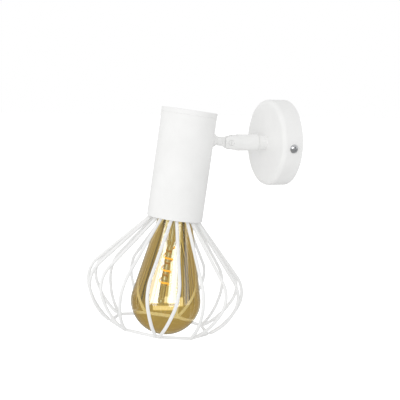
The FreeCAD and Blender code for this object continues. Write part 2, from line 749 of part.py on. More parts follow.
def pivot_screw():
    """The pivot: a small screw across the fork, its head sunk in one cheek."""
    top = V(PIVOT_HEAD_SEAT + M3_HEAD_H, -PIVOT_OUT, 0)
    length = PIVOT_HEAD_SEAT + M3_HEAD_H + PIVOT_HEAD_SEAT + PIVOT_NUT_T
    return slotted_screw(top, X_AXIS, M3_HEAD_D, M3_HEAD_H, M3_SHANK_D, length, Z_AXIS)


def pivot_nut():
    """The pivot's nut, let into the other cheek so that it can't turn."""
    start = V(-PIVOT_HEAD_SEAT, -PIVOT_OUT, 0)
    nut = hexagon(PIVOT_NUT_FLATS, PIVOT_NUT_T, start, X_AXIS * -1)
    return nut.cut(rod(M3_TAP_D, PIVOT_NUT_T + 2 * OVERRUN, start + X_AXIS * OVERRUN, X_AXIS * -1))


def pivot_washers():
    """Two thin washers that press on the tongue and hold the tilt where it is put."""
    pair = []
    for side in (-1, 1):
        start = V(side * (TONGUE_T / 2 + RUN_CLEARANCE / 2), -PIVOT_OUT, 0)
        washer = rod(PIVOT_WASHER_D, PIVOT_WASHER_T, start, X_AXIS * side)
        hole = rod(M3_SHANK_D + 2 * RUN_CLEARANCE, PIVOT_WASHER_T + 2 * OVERRUN,
                   start - X_AXIS * side * OVERRUN, X_AXIS * side)
        pair.append(washer.cut(hole))
    return Part.makeCompound(pair)


# Head: everything that tilts, modelled upright about the tube's axis with the rim at height zero

def neck_y(distance):
    """The place along the neck, in the head's frame, of a distance from the pivot."""
    return PIVOT_TO_AXIS - distance


def knuckle_neck():
    """A flat tongue, a round neck that flares to a collar shaped to the tube, and a hollow thread."""
    low = -NECK_D / 2 + NECK_EDGE / 2
    lean = TONGUE_R * TONGUE_LEAN_SHARE
    rise = sqrt(TONGUE_R ** 2 - lean ** 2)
    flat = outline([
        (NECK_START + OVERRUN, low),
        (lean, -rise),
        ((-TONGUE_R, 0), (lean, rise)),
        (NECK_START + OVERRUN, -low)],
        lambda away, up: V(-TONGUE_T / 2, neck_y(away), NECK_HEIGHT + up))
    tongue = flat.extrude(X_AXIS * TONGUE_T)
    radius = NECK_D / 2
    collar = COLLAR_D / 2
    collar_start = NECK_REACH - COLLAR_L
    end = NECK_REACH + NECK_THREAD_L
    profile = outline([
        (0, NECK_START),
        (radius - NECK_EDGE, NECK_START),
        (radius, NECK_START + NECK_EDGE),
        (radius, NECK_FLARE_START),
        (collar, collar_start),
        (collar, NECK_REACH + OVERRUN),
        (ROD_D / 2, NECK_REACH + OVERRUN),
        (ROD_D / 2, end - BUSH_CHAMFER),
        (ROD_D / 2 - BUSH_CHAMFER, end),
        (0, end)],
        lambda r, away: V(r, neck_y(away), NECK_HEIGHT))
    neck = profile.revolve(V(0, 0, NECK_HEIGHT), Y_AXIS, 360)
    tube_side = rod(TUBE_D, 2 * COLLAR_D, V(0, 0, NECK_HEIGHT - COLLAR_D), Z_AXIS)
    thread = rod(ROD_D, NECK_THREAD_L + COLLAR_L, V(0, neck_y(end), NECK_HEIGHT), Y_AXIS)
    neck = neck.cut(tube_side.cut(thread))
    knuckle = tongue.fuse(neck).removeSplitter()
    pin_hole = rod(M3_SHANK_D + 2 * RUN_CLEARANCE, 2 * ARM_D, V(-ARM_D, PIVOT_TO_AXIS, NECK_HEIGHT), X_AXIS)
    bore_end = (NECK_START + NECK_FLARE_START) / 2
    bore = rod(NECK_BORE_D, end - bore_end + OVERRUN, V(0, neck_y(end) - OVERRUN, NECK_HEIGHT), Y_AXIS)
    lead_exit = rod(LEAD_EXIT_D, NECK_D, V(0, neck_y(bore_end + LEAD_EXIT_D / 2), NECK_HEIGHT), Z_AXIS * -1)
    return knuckle.cut(pin_hole).cut(bore).cut(lead_exit)


STRAP_FACE_Y = sqrt((TUBE_INNER_R - SLIP_FIT) ** 2 - (STRAP_W / 2) ** 2)


def neck_lock_washer():
    """The notched washer inside the tube, on the lampholder bracket."""
    return lock_washer(V(0, STRAP_FACE_Y - STRAP_T, NECK_HEIGHT), OUT)


def neck_nut():
    """The nut that clamps the neck, the tube and the lampholder bracket together."""
    return rod_nut(ROD_NUT_T, V(0, STRAP_FACE_Y - STRAP_T - WASHER_T, NECK_HEIGHT), OUT)


def tube():
    """The tube: open at the rim, with one hole for the neck's thread."""
    shell = turned_up([
        (TUBE_INNER_R, 0),
        (TUBE_R, 0),
        (TUBE_R, TUBE_L - TUBE_EDGE),
        (TUBE_R - TUBE_EDGE, TUBE_L),
        (TUBE_INNER_R, TUBE_L)])
    return shell.cut(rod(ROD_HOLE_D, TUBE_R + OVERRUN, V(0, 0, NECK_HEIGHT), Y_AXIS))


def tube_end_cap():
    """A pressed-in cap, flush with the tube, whose spigot goes down inside it."""
    top = TUBE_TOTAL_L
    spigot = TUBE_INNER_R - SLIP_FIT
    inner = spigot - END_CAP_SPIGOT_WALL
    return turned_up([
        (0, top),
        (TUBE_R - END_CAP_EDGE_R, top),
        corner_arc((TUBE_R - END_CAP_EDGE_R, top - END_CAP_EDGE_R), END_CAP_EDGE_R, 90, 0),
        (TUBE_R, TUBE_L + TUBE_EDGE),
        (TUBE_R - TUBE_EDGE, TUBE_L),
        (spigot, TUBE_L),
        (spigot, TUBE_L - END_CAP_SPIGOT_L),
        (inner, TUBE_L - END_CAP_SPIGOT_L),
        (inner, top - END_CAP_T),
        (0, top - END_CAP_T)])


def lampholder_bracket():
    """The L of strip steel: upright on the tube's wall, level leg over the lampholder."""
    upright_y = STRAP_FACE_Y - STRAP_T / 2
    level = STRAP_TOP - STRAP_T / 2
    strap = strip_along([V(0, upright_y, NECK_HEIGHT + STRAP_ABOVE_NECK), V(0, upright_y, level),
                         V(0, -STRAP_PAST_CENTRE, level)], [STRAP_BEND_R], STRAP_W, STRAP_T, X_AXIS)
    strap = strap.cut(rod(ROD_HOLE_D, TUBE_R, V(0, TUBE_R, NECK_HEIGHT), OUT))
    return strap.cut(rod(ROD_HOLE_D, STRAP_T + 2 * OVERRUN, V(0, 0, STRAP_TOP + OVERRUN), Z_AXIS * -1))


HOLDER_WAIST_START = HOLDER_BOTTOM + HOLDER_SKIRT_H


def lampholder_body():
    """The ceramic body: a skirt, a waist and a domed top, bored for the thread shell below."""
    skirt = HOLDER_D / 2
    waist = HOLDER_WAIST_D / 2
    bore = HOLDER_BORE_D / 2
    top = STRAP_UNDER
    dome_start = top - HOLDER_DOME_R
    dome_in = waist - HOLDER_DOME_R
    body = turned_up([
        (bore, HOLDER_BOTTOM),
        (skirt - HOLDER_LIP_R, HOLDER_BOTTOM),
        corner_arc((skirt - HOLDER_LIP_R, HOLDER_BOTTOM + HOLDER_LIP_R), HOLDER_LIP_R, -90, 0),
        (skirt, HOLDER_WAIST_START),
        (waist, HOLDER_WAIST_START + HOLDER_STEP_H),
        (waist, dome_start),
        corner_arc((dome_in, dome_start), HOLDER_DOME_R, 0, 90),
        (ROD_HOLE_D / 2, top),
        (ROD_HOLE_D / 2, CHAMBER_TOP),
        (CHAMBER_D / 2, CHAMBER_TOP),
        (CHAMBER_D / 2, CHAMBER_BOTTOM),
        (0, CHAMBER_BOTTOM),
        (0, HOLDER_FLOOR),
        (bore, HOLDER_FLOOR)])
    for side in (-1, 1):
        ends = sorted((side * CHAMBER_D / 4, side * HOLDER_D))
        body = body.cut(block(V(ends[0], -TERMINAL_POCKET_W / 2, CHAMBER_BOTTOM),
                              V(ends[1], TERMINAL_POCKET_W / 2, CHAMBER_BOTTOM + TERMINAL_POCKET_H)))
        foot = V(side * TERMINAL_X, 0, CHAMBER_BOTTOM - TERMINAL_SCREW_L)
        body = body.cut(rod(M3_TAP_D, TERMINAL_SCREW_L, foot, Z_AXIS))
    return body.cut(rod(RIVET_D + 2 * SLIP_FIT, RIVET_L, V(-RIVET_X, 0, HOLDER_FLOOR), Z_AXIS))


TERMINAL_X = (CHAMBER_D + HOLDER_WAIST_D) / 4
RIVET_X = CONTACT_REACH / 2 + RIVET_HEAD_D / 2


def lampholder_terminal_screws():
    """Two terminal screws, upright in the body's side pockets."""
    pair = []
    for side in (-1, 1):
        top = V(side * TERMINAL_X, 0, CHAMBER_BOTTOM + M3_HEAD_H)
        pair.append(slotted_screw(top, Z_AXIS, M3_HEAD_D, M3_HEAD_H, M3_SHANK_D,
                                  M3_HEAD_H + TERMINAL_SCREW_L - OVERRUN, X_AXIS))
    return Part.makeCompound(pair)


def lampholder_rod():
    """The hollow threaded rod between the lampholder and its bracket; the leads pass through it."""
    start = V(0, 0, STRAP_UNDER - HOLDER_ROD_BELOW)
    length = HOLDER_ROD_BELOW + STRAP_T + HOLDER_NUT_T + HOLDER_ROD_ABOVE / 2
    return rod(ROD_D, length, start, Z_AXIS).cut(
        rod(ROD_BORE_D, length + 2 * OVERRUN, start - Z_AXIS * OVERRUN, Z_AXIS))


def lampholder_nut():
    """The thin nut on top of the lampholder's bracket."""
    return rod_nut(HOLDER_NUT_T, V(0, 0, STRAP_TOP), Z_AXIS)


CONTACT_TOP = HOLDER_FLOOR - SLIP_FIT
BULB_TOP = CONTACT_TOP - 2 * CONTACT_T - CONTACT_BEND_R
BULB_BOTTOM = BULB_TOP - BULB_LENGTH
CAP_THREAD_TOP = BULB_TOP - TIP_H - INSULATOR_H - THREAD_PITCH / 4
CAP_THREAD_BOTTOM = CAP_THREAD_TOP - BULB_CAP_RINGS * THREAD_PITCH
GLASS_TOP = CAP_THREAD_BOTTOM - THREAD_PITCH / 4
STEM_PINCH = GLASS_TOP - STEM_PINCH_DROP
STEM_BOTTOM = BULB_BOTTOM + STEM_BUTTON_H
FILAMENT_TOP = STEM_PINCH - FILAMENT_TOP_GAP
FILAMENT_PITCH = (FILAMENT_TOP - STEM_BOTTOM - FILAMENT_END_GAP) / FILAMENT_TURNS
SHELL_TOP = HOLDER_FLOOR - SLIP_FIT
SHELL_THREAD_TOP = CAP_THREAD_TOP + THREAD_PITCH


def thread_rings(offset, top, rings):
    """Outline points of a ring thread from its top down: each ring runs out to a crest and in to a root."""
    crest = THREAD_CREST_D / 2 + offset
    root = THREAD_ROOT_D / 2 + offset
    middle = (crest + root) / 2
    quarter = THREAD_PITCH / 4
    points = [(middle, top)]
    for i in range(rings):
        ring_top = top - i * THREAD_PITCH
        points.append((crest, ring_top - quarter))
        points.append((root, ring_top - 3 * quarter))
    points.append((middle, top - rings * THREAD_PITCH))
    return points


def lampholder_thread_shell():
    """The pressed metal shell that takes the bulb's thread, with a holed top under the floor."""
    inner = thread_rings(SHELL_CLEARANCE, SHELL_THREAD_TOP, SHELL_RINGS)
    outer = thread_rings(SHELL_CLEARANCE + SHELL_T, SHELL_THREAD_TOP, SHELL_RINGS)
    return turned_up(
        [(SHELL_TOP_HOLE_D / 2, SHELL_TOP),
         (SHELL_TOP_HOLE_D / 2, SHELL_TOP - SHELL_T),
         (inner[0][0], SHELL_TOP - SHELL_T)]
        + inner
        + outer[::-1]
        + [(outer[0][0], SHELL_TOP)])


def lampholder_contact():
    """The springy centre contact: riveted to the floor, its tip bent down to the bulb."""
    level = CONTACT_TOP - CONTACT_T / 2
    tip_level = BULB_TOP + CONTACT_T / 2 + SLIP_FIT
    back = -RIVET_X - RIVET_HEAD_D / 2
    points = [V(back, 0, level), V(-CONTACT_REACH / 4, 0, level),
              V(CONTACT_REACH / 4, 0, tip_level), V(CONTACT_REACH, 0, tip_level)]
    strip = strip_along(points, [CONTACT_BEND_R, CONTACT_BEND_R], CONTACT_W, CONTACT_T, Y_AXIS)
    return strip.cut(rod(RIVET_D + 2 * SLIP_FIT, 2 * CONTACT_W, V(-RIVET_X, 0, level - CONTACT_W), Z_AXIS))


def lampholder_rivet():
    """The rivet that holds the centre contact."""
    under = CONTACT_TOP - CONTACT_T
    head = rod(RIVET_HEAD_D, RIVET_HEAD_H, V(-RIVET_X, 0, under - RIVET_HEAD_H), Z_AXIS)
    return head.fuse(rod(RIVET_D, RIVET_L, V(-RIVET_X, 0, under), Z_AXIS)).removeSplitter()


# Bulb

BULB_R = BULB_D / 2


def bulb_outline(inset):
    """The pear's outline from its neck down to the axis, at a depth inside the outer skin."""
    neck = BULB_NECK_D / 2 - inset
    shoulder = BULB_SHOULDER_R - inset
    shoulder_x = BULB_R - BULB_SHOULDER_R
    shoulder_z = BULB_BOTTOM + BULB_WIDEST_H
    # the bottom arc has its centre on the axis and meets the shoulder arc without a corner
    spare = 2 * (BULB_WIDEST_H - BULB_SHOULDER_R)
    base = (shoulder_x ** 2 + BULB_WIDEST_H ** 2 - BULB_SHOULDER_R ** 2) / spare
    base_z = BULB_BOTTOM + base
    join = degrees(atan2(base_z - shoulder_z, shoulder_x))
    tuck = BULB_TUCK_R - inset
    tuck_x = BULB_NECK_D / 2 - BULB_TUCK_R * cos(radians(BULB_TUCK_ANGLE))
    tuck_z = GLASS_TOP - BULB_TUCK_DROP
    neck_angle = degrees(acos((neck - tuck_x) / tuck))
    # the straight side touches the shoulder arc below and the small tucked arc at the neck
    apart = hypot(tuck_x - shoulder_x, tuck_z - shoulder_z)
    lean = atan2(tuck_z - shoulder_z, tuck_x - shoulder_x) - acos((shoulder - tuck) / apart)
    side_x = shoulder_x + shoulder * cos(lean)
    side_z = shoulder_z + shoulder * sin(lean)
    return [
        (neck, GLASS_TOP),
        (neck, tuck_z + tuck * sin(radians(neck_angle))),
        corner_arc((tuck_x, tuck_z), tuck, neck_angle, degrees(lean)),
        (side_x, side_z),
        corner_arc((shoulder_x, shoulder_z), shoulder, degrees(lean), -join),
        corner_arc((0, base_z), base - inset, -join, -90)]


def bulb_glass():
    """The blown envelope, a thin wall of even thickness, closed at the bottom."""
    inner = bulb_outline(BULB_WALL)
    return turned_up(bulb_outline(0) + [inner[-1][1]] + walked_back(inner))


def bulb_screw_cap():
    """The bulb's metal cap: a rolled top edge, a ring thread and a plain skirt round the glass."""
    outer = thread_rings(-SLIP_FIT, CAP_THREAD_TOP, BULB_CAP_RINGS)
    inner = thread_rings(-SLIP_FIT - BULB_CAP_T, CAP_THREAD_TOP, BULB_CAP_RINGS)
    skirt = BULB_CAP_SKIRT_D / 2
    bottom = CAP_THREAD_BOTTOM - BULB_CAP_SKIRT_L
    edge_r = INSULATOR_D / 2
    edge_top = BULB_TOP - TIP_H - INSULATOR_H / 2
    return turned_up(
        outer
        + [(skirt, GLASS_TOP),
           (skirt, bottom),
           (skirt - BULB_CAP_T, bottom),
           (skirt - BULB_CAP_T, GLASS_TOP)]
        + inner[::-1]
        + [(edge_r, edge_top), (edge_r + BULB_CAP_T, edge_top)])


def bulb_insulator():
    """The dark glass ring between the cap and the tip contact."""
    foot = BULB_TOP - TIP_H - INSULATOR_H
    return turned_up([
        (0, foot),
        (INSULATOR_D / 2 - SLIP_FIT, foot),
        (INSULATOR_D / 2 - SLIP_FIT, foot + INSULATOR_H / 2),
        (TIP_D / 2, BULB_TOP - TIP_H),
        (0, BULB_TOP - TIP_H)])


def bulb_tip_contact():
    """The soldered tip contact."""
    crown = ((TIP_D / 2) ** 2 + TIP_H ** 2) / (2 * TIP_H)
    half = degrees(asin(TIP_D / 2 / crown))
    return turned_up([
        (0, BULB_TOP - TIP_H),
        (TIP_D / 2, BULB_TOP - TIP_H),
        corner_arc((0, BULB_TOP - crown), crown, RIGHT_ANGLE - half, RIGHT_ANGLE)])


def bulb_stem():
    """The glass stem: a flare sealed in the neck, a tube, and a rod down to a small button."""
    flare = BULB_NECK_D / 2 - BULB_WALL - SLIP_FIT
    tube_r = STEM_TUBE_D / 2
    rod_r = STEM_ROD_D / 2
    flare_end = GLASS_TOP - STEM_FLARE_L
    button = STEM_BUTTON_D / 2
    button_angle = acos(rod_r / button)
    return turned_up([
        (0, GLASS_TOP),
        (flare, GLASS_TOP),
        ((tube_r + (flare - tube_r) / 4, flare_end + STEM_FLARE_L / 2), (tube_r, flare_end)),
        (tube_r, STEM_PINCH + tube_r),
        (rod_r, STEM_PINCH),
        (rod_r, STEM_BOTTOM + button * sin(button_angle)),
        corner_arc((0, STEM_BOTTOM), button, degrees(button_angle), -90)])


def filament_corners():
    """Corners of the path of a steady helix: equal arcs between them follow its turns."""
    step = 2 * pi / FILAMENT_CORNERS
    corner_r = (FILAMENT_COIL_D / 2) / cos(step / 2) ** 2
    count = FILAMENT_TURNS * FILAMENT_CORNERS
    corners = []
    for i in range(count + 1):
        angle = step * i
        corners.append(V(corner_r * cos(angle), corner_r * sin(angle),
                         FILAMENT_TOP - FILAMENT_PITCH * i / FILAMENT_CORNERS))
    return corners


def bulb_filament():
    """The filament: a coated rod wound in an open helix round the stem."""
    corners = filament_corners()
    half_run = (corners[1] - corners[0]).Length / 2
    points = [corners[0] + (corners[1] - corners[0]) / 2] + corners[1:-1] + [
        corners[-1] + (corners[-2] - corners[-1]) / 2]
    inner = points[1:-1]
    radii = []
    for i in range(len(inner)):
        back = (corners[i] - corners[i + 1]).normalize()
        ahead = (corners[i + 2] - corners[i + 1]).normalize()
        radii.append(half_run * tan(acos(back.dot(ahead)) / 2) * (1 - HAIR))
    path = bent_path(points, radii)
    gap = FILAMENT_PITCH * cos(atan2(FILAMENT_PITCH, pi * FILAMENT_COIL_D)) - FILAMENT_D
    print("filament wire", round(path.Length, 1), "least gap between turns", round(gap, 2))
    return wire_rod(path, FILAMENT_D)


def bulb_supports():
    """Two bent wires: one from the stem's tube to the filament's top, one from its button to the end."""
    corners = filament_corners()
    top = corners[0] + (corners[1] - corners[0]) / 2
    low = corners[-1] + (corners[-2] - corners[-1]) / 2
    wires = []
    reach_top = top + (corners[0] - corners[1]).normalize() * SUPPORT_GAP
    reach_low = low + (corners[-1] - corners[-2]).normalize() * SUPPORT_GAP
    spread = V(top.x, top.y, 0).normalize()
    seat = spread * (STEM_TUBE_D / 2 + SUPPORT_D / 2 + SUPPORT_GAP)
    upper = [V(seat.x, seat.y, FILAMENT_TOP + STEM_TUBE_D),
             V(seat.x, seat.y, FILAMENT_TOP + 2 * SUPPORT_D),
             reach_top]
    wires.append(wire_rod(bent_path(upper, [SUPPORT_D]), SUPPORT_D))
    away = V(low.x, low.y, 0).normalize() * (STEM_BUTTON_D / 2 + SUPPORT_GAP)
    lower = [V(away.x, away.y, STEM_BOTTOM), reach_low]
    straight = lower[1] - lower[0]
    wires.append(rod(SUPPORT_D, straight.Length, lower[0], straight))
    return Part.makeCompound(wires)


# Cage

def cage_collar():
    """The pressed collar inside the tube's mouth; the wires are welded under its flange."""
    outer = TUBE_INNER_R - SLIP_FIT
    inner = outer - COLLAR_RING_WALL
    bottom = COLLAR_RING_BOTTOM
    flange_top = bottom + COLLAR_FLANGE_T
    return turned_up([
        (COLLAR_FLANGE_BORE_D / 2, bottom),
        (outer, bottom),
        (outer, bottom + COLLAR_RING_H),
        (inner, bottom + COLLAR_RING_H),
        (inner, flange_top),
        (COLLAR_FLANGE_BORE_D / 2, flange_top)])


def tip_apex():
    """Where the middle of a loop's rounded tip lies: radius and height."""
    run_in = hypot(LOW_R - TIP_R, TIP_DROP - LOW_DROP)
    half = atan2(LOW_SPREAD, run_in)
    set_back = TIP_BEND_R / sin(half) - TIP_BEND_R
    share = set_back / run_in
    return (TIP_R + share * (LOW_R - TIP_R), -TIP_DROP + share * (TIP_DROP - LOW_DROP))


def widest_bend(back, corner, ahead, back_share, ahead_share):
    """The largest bend radius at a corner that takes up no more than these shares of the runs beside it."""
    to_back = back - corner
    to_ahead = ahead - corner
    cut = min(to_back.Length * back_share, to_ahead.Length * ahead_share)
    return cut * tan(to_back.getAngle(to_ahead) / 2)


def cage_petal(number):
    """One pointed loop: down from the collar, out over the belly, in to a tip and back up."""
    start = V(LEG_TOP_R, LEG_TOP_SPREAD, COLLAR_RING_BOTTOM)
    top = V(LEG_TOP_R, LEG_TOP_SPREAD, 0)
    shoulder = V(SHOULDER_R, SHOULDER_SPREAD, -SHOULDER_DROP)
    low = V(LOW_R, LOW_SPREAD, -LOW_DROP)
    tip = V(TIP_R, 0, -TIP_DROP)
    half = [start, top, shoulder, low]
    other = [V(p.x, -p.y, p.z) for p in reversed(half)]
    radii = [LEG_BEND_R,
             widest_bend(top, shoulder, low, LEG_LOWER_SHARE, BELLY_UPPER_SHARE),
             widest_bend(shoulder, low, tip, BELLY_LOWER_SHARE, FOOT_UPPER_SHARE)]
    tip_radius = min(TIP_BEND_R, widest_bend(low, tip, other[0], FOOT_TIP_SHARE, FOOT_TIP_SHARE))
    path = bent_path(half + [tip] + other, radii + [tip_radius] + radii[::-1])
    loop = wire_rod(path, WIRE_D)
    expected = pi * (WIRE_D / 2) ** 2 * path.Length
    assert abs(loop.Volume / expected - 1) < HAIR * 10, "loop volume"
    return loop.rotated(ORIGIN, Z_AXIS, FIRST_PETAL_ANGLE + number * 360 / PETALS)


def cage_foot_ring():
    """The foot ring: one wire of straight sides, bent at each loop's tip and welded under it."""
    apex_r, apex_z = tip_apex()
    distance = WIRE_D + WELD_GAP
    under = radians(RING_UNDER_TIP_ANGLE)
    bend_r = apex_r - distance * cos(under)
    level = apex_z - distance * sin(under)
    corner_r = bend_r + RING_BEND_R * (1 / cos(pi / PETALS) - 1)
    corners = []
    for i in range(PETALS):
        angle = radians(FIRST_PETAL_ANGLE) + 2 * pi * i / PETALS
        corners.append(V(corner_r * cos(angle), corner_r * sin(angle), level))
    return wire_rod(bent_path(corners, [RING_BEND_R] * PETALS, closed=True), WIRE_D)


# All sub-parts

os.makedirs("parts", exist_ok=True)

write("canopy", canopy())
write("mounting_bracket", mounting_bracket())
write("canopy_side_screws", canopy_side_screws())
write("terminal_block", terminal_block())
write("terminal_clamp_screws", terminal_clamp_screws())
write("terminal_block_screw", terminal_block_screw())
write("earth_washer", earth_washer())
write("earth_screw", earth_screw())
write("swivel_bush", swivel_bush())
write("swivel_stop_pin", swivel_stop_pin())
write("swivel_bush_washer", swivel_bush_washer())
write("swivel_bush_nut", swivel_bush_nut())

write("arm_barrel", arm_barrel())
write("swivel_thrust_washer", swivel_thrust_washer())
write("swivel_clip", swivel_clip())
write("pivot_screw", pivot_screw())
write("pivot_nut", pivot_nut())
write("pivot_washers", pivot_washers())

head_parts = {
    "knuckle_neck": knuckle_neck(),
    "neck_lock_washer": neck_lock_washer(),
    "neck_nut": neck_nut(),
    "tube": tube(),
    "tube_end_cap": tube_end_cap(),
    "lampholder_bracket": lampholder_bracket(),
    "lampholder_rod": lampholder_rod(),
    "lampholder_nut": lampholder_nut(),
    "lampholder_body": lampholder_body(),
    "lampholder_terminal_screws": lampholder_terminal_screws(),
    "lampholder_thread_shell": lampholder_thread_shell(),
    "lampholder_contact": lampholder_contact(),
    "lampholder_rivet": lampholder_rivet(),
    "bulb_screw_cap": bulb_screw_cap(),
    "bulb_insulator": bulb_insulator(),
    "bulb_tip_contact": bulb_tip_contact(),
    "bulb_glass": bulb_glass(),
    "bulb_stem": bulb_stem(),
    "bulb_filament": bulb_filament(),
    "bulb_supports": bulb_supports(),
    "cage_collar": cage_collar(),
    "cage_foot_ring": cage_foot_ring(),
}
for number in range(PETALS):
    head_parts["cage_petal_%d" % (number + 1)] = cage_petal(number)
for name, shape in head_parts.items():
    write(name, on_head(shape))
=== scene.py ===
# %% [markdown]
# # A wall and ceiling light with a wire cage, dressed around its CAD frame
# The CAD model is the fixed frame: it gives every piece its size and place. This script
# gives the pieces their finishes, and makes again, with finer meshes, the pieces whose
# looks the CAD solids can't carry: the bulb's glass, stem and filament, and the wire cage.
# Lengths are metres in Blender. The real object is described in millimetres, so most
# values here are written in millimetres and turned once, by `mm`.

# %% Load the frame
import json
from math import radians

import bpy
import numpy as np
from mathutils import Matrix, Vector


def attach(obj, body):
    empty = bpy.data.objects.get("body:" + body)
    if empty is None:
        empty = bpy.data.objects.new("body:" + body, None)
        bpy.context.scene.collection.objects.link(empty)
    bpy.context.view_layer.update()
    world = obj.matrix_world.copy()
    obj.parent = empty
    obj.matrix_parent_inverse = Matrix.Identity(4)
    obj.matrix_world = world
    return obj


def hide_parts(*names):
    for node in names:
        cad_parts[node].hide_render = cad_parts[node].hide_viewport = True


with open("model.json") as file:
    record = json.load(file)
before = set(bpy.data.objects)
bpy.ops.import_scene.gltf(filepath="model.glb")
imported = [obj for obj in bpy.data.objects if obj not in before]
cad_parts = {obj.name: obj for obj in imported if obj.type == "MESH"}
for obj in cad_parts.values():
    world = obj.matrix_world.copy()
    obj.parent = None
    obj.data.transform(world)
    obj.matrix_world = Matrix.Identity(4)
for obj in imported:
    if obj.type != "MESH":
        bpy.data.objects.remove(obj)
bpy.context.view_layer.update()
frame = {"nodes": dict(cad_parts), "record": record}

# %% [markdown]
# ## Units and the two frames
# The head (tube, bulb and cage) is easiest to describe upright, with the tube's axis as Z
# and the tube's open rim at height zero. In the photograph it hangs a little out of plumb
# from the pivot at the end of the arm, so one rotation about the pivot carries every head
# point into the row's frame.

# %% Millimetres and the head's own frame
def mm(value):
    """Millimetres to metres, for a number, a tuple or an array."""
    return np.asarray(value, float) / 1000.0


HEAD_TILT = 6.9
PIVOT = np.array([0, -55.9, 0])
PIVOT_IN_HEAD = np.array([0, 42.7, 74.5])


def from_head(points):
    """Head-frame points (mm) in the row's frame (mm): turned by the tilt about X and moved to the pivot."""
    angle = radians(-HEAD_TILT)
    turn = np.array([[1, 0, 0], [0, np.cos(angle), -np.sin(angle)], [0, np.sin(angle), np.cos(angle)]])
    return (np.asarray(points, float) - PIVOT_IN_HEAD) @ turn.T + PIVOT


print("bulb's axis meets the rim at, mm:", from_head([0, 0, 0]).round(2))

# %% [markdown]
# ## The camera
# The photograph was taken with a long lens from the room side, a little above the light
# and about 84 cm away. The place, direction and roll were worked out by fitting the CAD
# model's outlines to the photograph: canopy, tube, tilted rim and the cage's nine tips.

# %% Camera
FOCAL_MM = 80.06
SENSOR_MM = 36.0
EYE = mm([748.70, -389.39, 55.86])
AZIMUTH = 67.733
PITCH = 7.661
ROLL = 1.769


def camera_axes(azimuth, pitch, roll):
    """Right, up and back unit vectors of a camera turned by azimuth about Z, tipped by pitch and rolled."""
    a, p, r = radians(azimuth), radians(pitch), radians(roll)
    back = np.array([np.sin(a) * np.cos(p), -np.cos(a) * np.cos(p), np.sin(p)])
    right = np.array([np.cos(a), np.sin(a), 0.0])
    up = np.cross(back, right)
    return right * np.cos(r) + up * np.sin(r), up * np.cos(r) - right * np.sin(r), back


camera = bpy.data.objects.new("photo_camera", bpy.data.cameras.new("photo_camera"))
bpy.context.scene.collection.objects.link(camera)
bpy.context.scene.camera = camera
camera.data.lens = FOCAL_MM
camera.data.sensor_width = SENSOR_MM
camera.data.clip_start = 0.02
camera.data.clip_end = 30.0
right, up, back = camera_axes(AZIMUTH, PITCH, ROLL)
turned = Matrix([right.tolist(), up.tolist(), back.tolist()]).transposed().to_4x4()
camera.matrix_world = Matrix.Translation(Vector(EYE)) @ turned
print("camera at, m:", np.round(EYE, 4), "looking along", np.round(-back, 3))

# %% [markdown]
# ## Colour and material helpers
# Colours are read off the real finishes as sRGB hex values. Blender's shaders work in
# linear light, so one function undoes the sRGB curve. One small function adds a node,
# sets its settings and links its inputs, so that each material below reads as a list of
# what its surface is made of. Patterns are given by the size of one feature in mm.

# %% Helpers for colours and nodes
def linear(hex_colour):
    """An sRGB hex string as linear RGBA: c/12.92 below 0.04045, else ((c + 0.055)/1.055)^2.4."""
    c = np.array([int(hex_colour[i:i + 2], 16) for i in (1, 3, 5)]) / 255.0
    c = np.where(c <= 0.04045, c / 12.92, ((c + 0.055) / 1.055) ** 2.4)
    return (*c.tolist(), 1.0)


def per_mm(size):
    """The texture scale whose features are about this many millimetres across, on Object coordinates."""
    return 1000.0 / size


def add(tree, kind, links=None, **settings):
    """Adds a node; settings go to its own properties, links to its inputs: a value, or a socket to join."""
    node = tree.nodes.new(kind)
    for key, value in settings.items():
        setattr(node, key, value)
    for key, value in (links or {}).items():
        if isinstance(value, bpy.types.NodeSocket):
            tree.links.new(value, node.inputs[key])
        else:
            node.inputs[key].default_value = value
    return node


def blank_material(name):
    """A material whose node tree holds only its output and its Object coordinates."""
    material = bpy.data.materials.new(name)
    material.use_nodes = True
    material.node_tree.nodes.clear()
    output = add(material.node_tree, "ShaderNodeOutputMaterial")
    place = add(material.node_tree, "ShaderNodeTexCoord").outputs["Object"]
    return material, material.node_tree, output.inputs["Surface"], place


# a Mix node's two colours and its colour result, by their places in its lists of sockets
MIX_A, MIX_B, MIX_RESULT = 6, 7, 2
print("mid grey #808080 is linear", round(linear("#808080")[0], 3))


# %% [markdown]
# ## Powder-coated steel
# The canopy, arm, tube and cage are steel and zinc castings with a satin white powder
# coat. Powder melts into a skin with a very fine, soft unevenness called orange peel.
# Real orange peel is about 0.5 mm across and would vanish in the picture, so it is drawn
# about three times coarser. The skin is a touch duller where it is thicker, which a
# second, larger noise gives to the roughness and the colour.

# %% Powder coat
coat, tree, surface, place = blank_material("powder_coat_satin_white")
PEEL_MM = 1.6
CLOUD_MM = 18.0
peel = add(tree, "ShaderNodeTexNoise", {
    "Vector": place, "Scale": per_mm(PEEL_MM), "Detail": 2.0, "Roughness": 0.45})
cloud = add(tree, "ShaderNodeTexNoise", {"Vector": place, "Scale": per_mm(CLOUD_MM), "Detail": 3.0})
tone = add(tree, "ShaderNodeValToRGB", {"Fac": cloud.outputs["Fac"]})
tone.color_ramp.elements[0].position = 0.3
tone.color_ramp.elements[0].color = linear("#F1F1F0")
tone.color_ramp.elements[1].position = 0.7
tone.color_ramp.elements[1].color = linear("#F5F5F4")
gloss = add(tree, "ShaderNodeMapRange", {"Value": peel.outputs["Fac"], "From Min": 0.3, "From Max": 0.7,
                                         "To Min": 0.42, "To Max": 0.52})
skin = add(tree, "ShaderNodeBump", {"Height": peel.outputs["Fac"], "Strength": 0.25, "Distance": 0.00012})
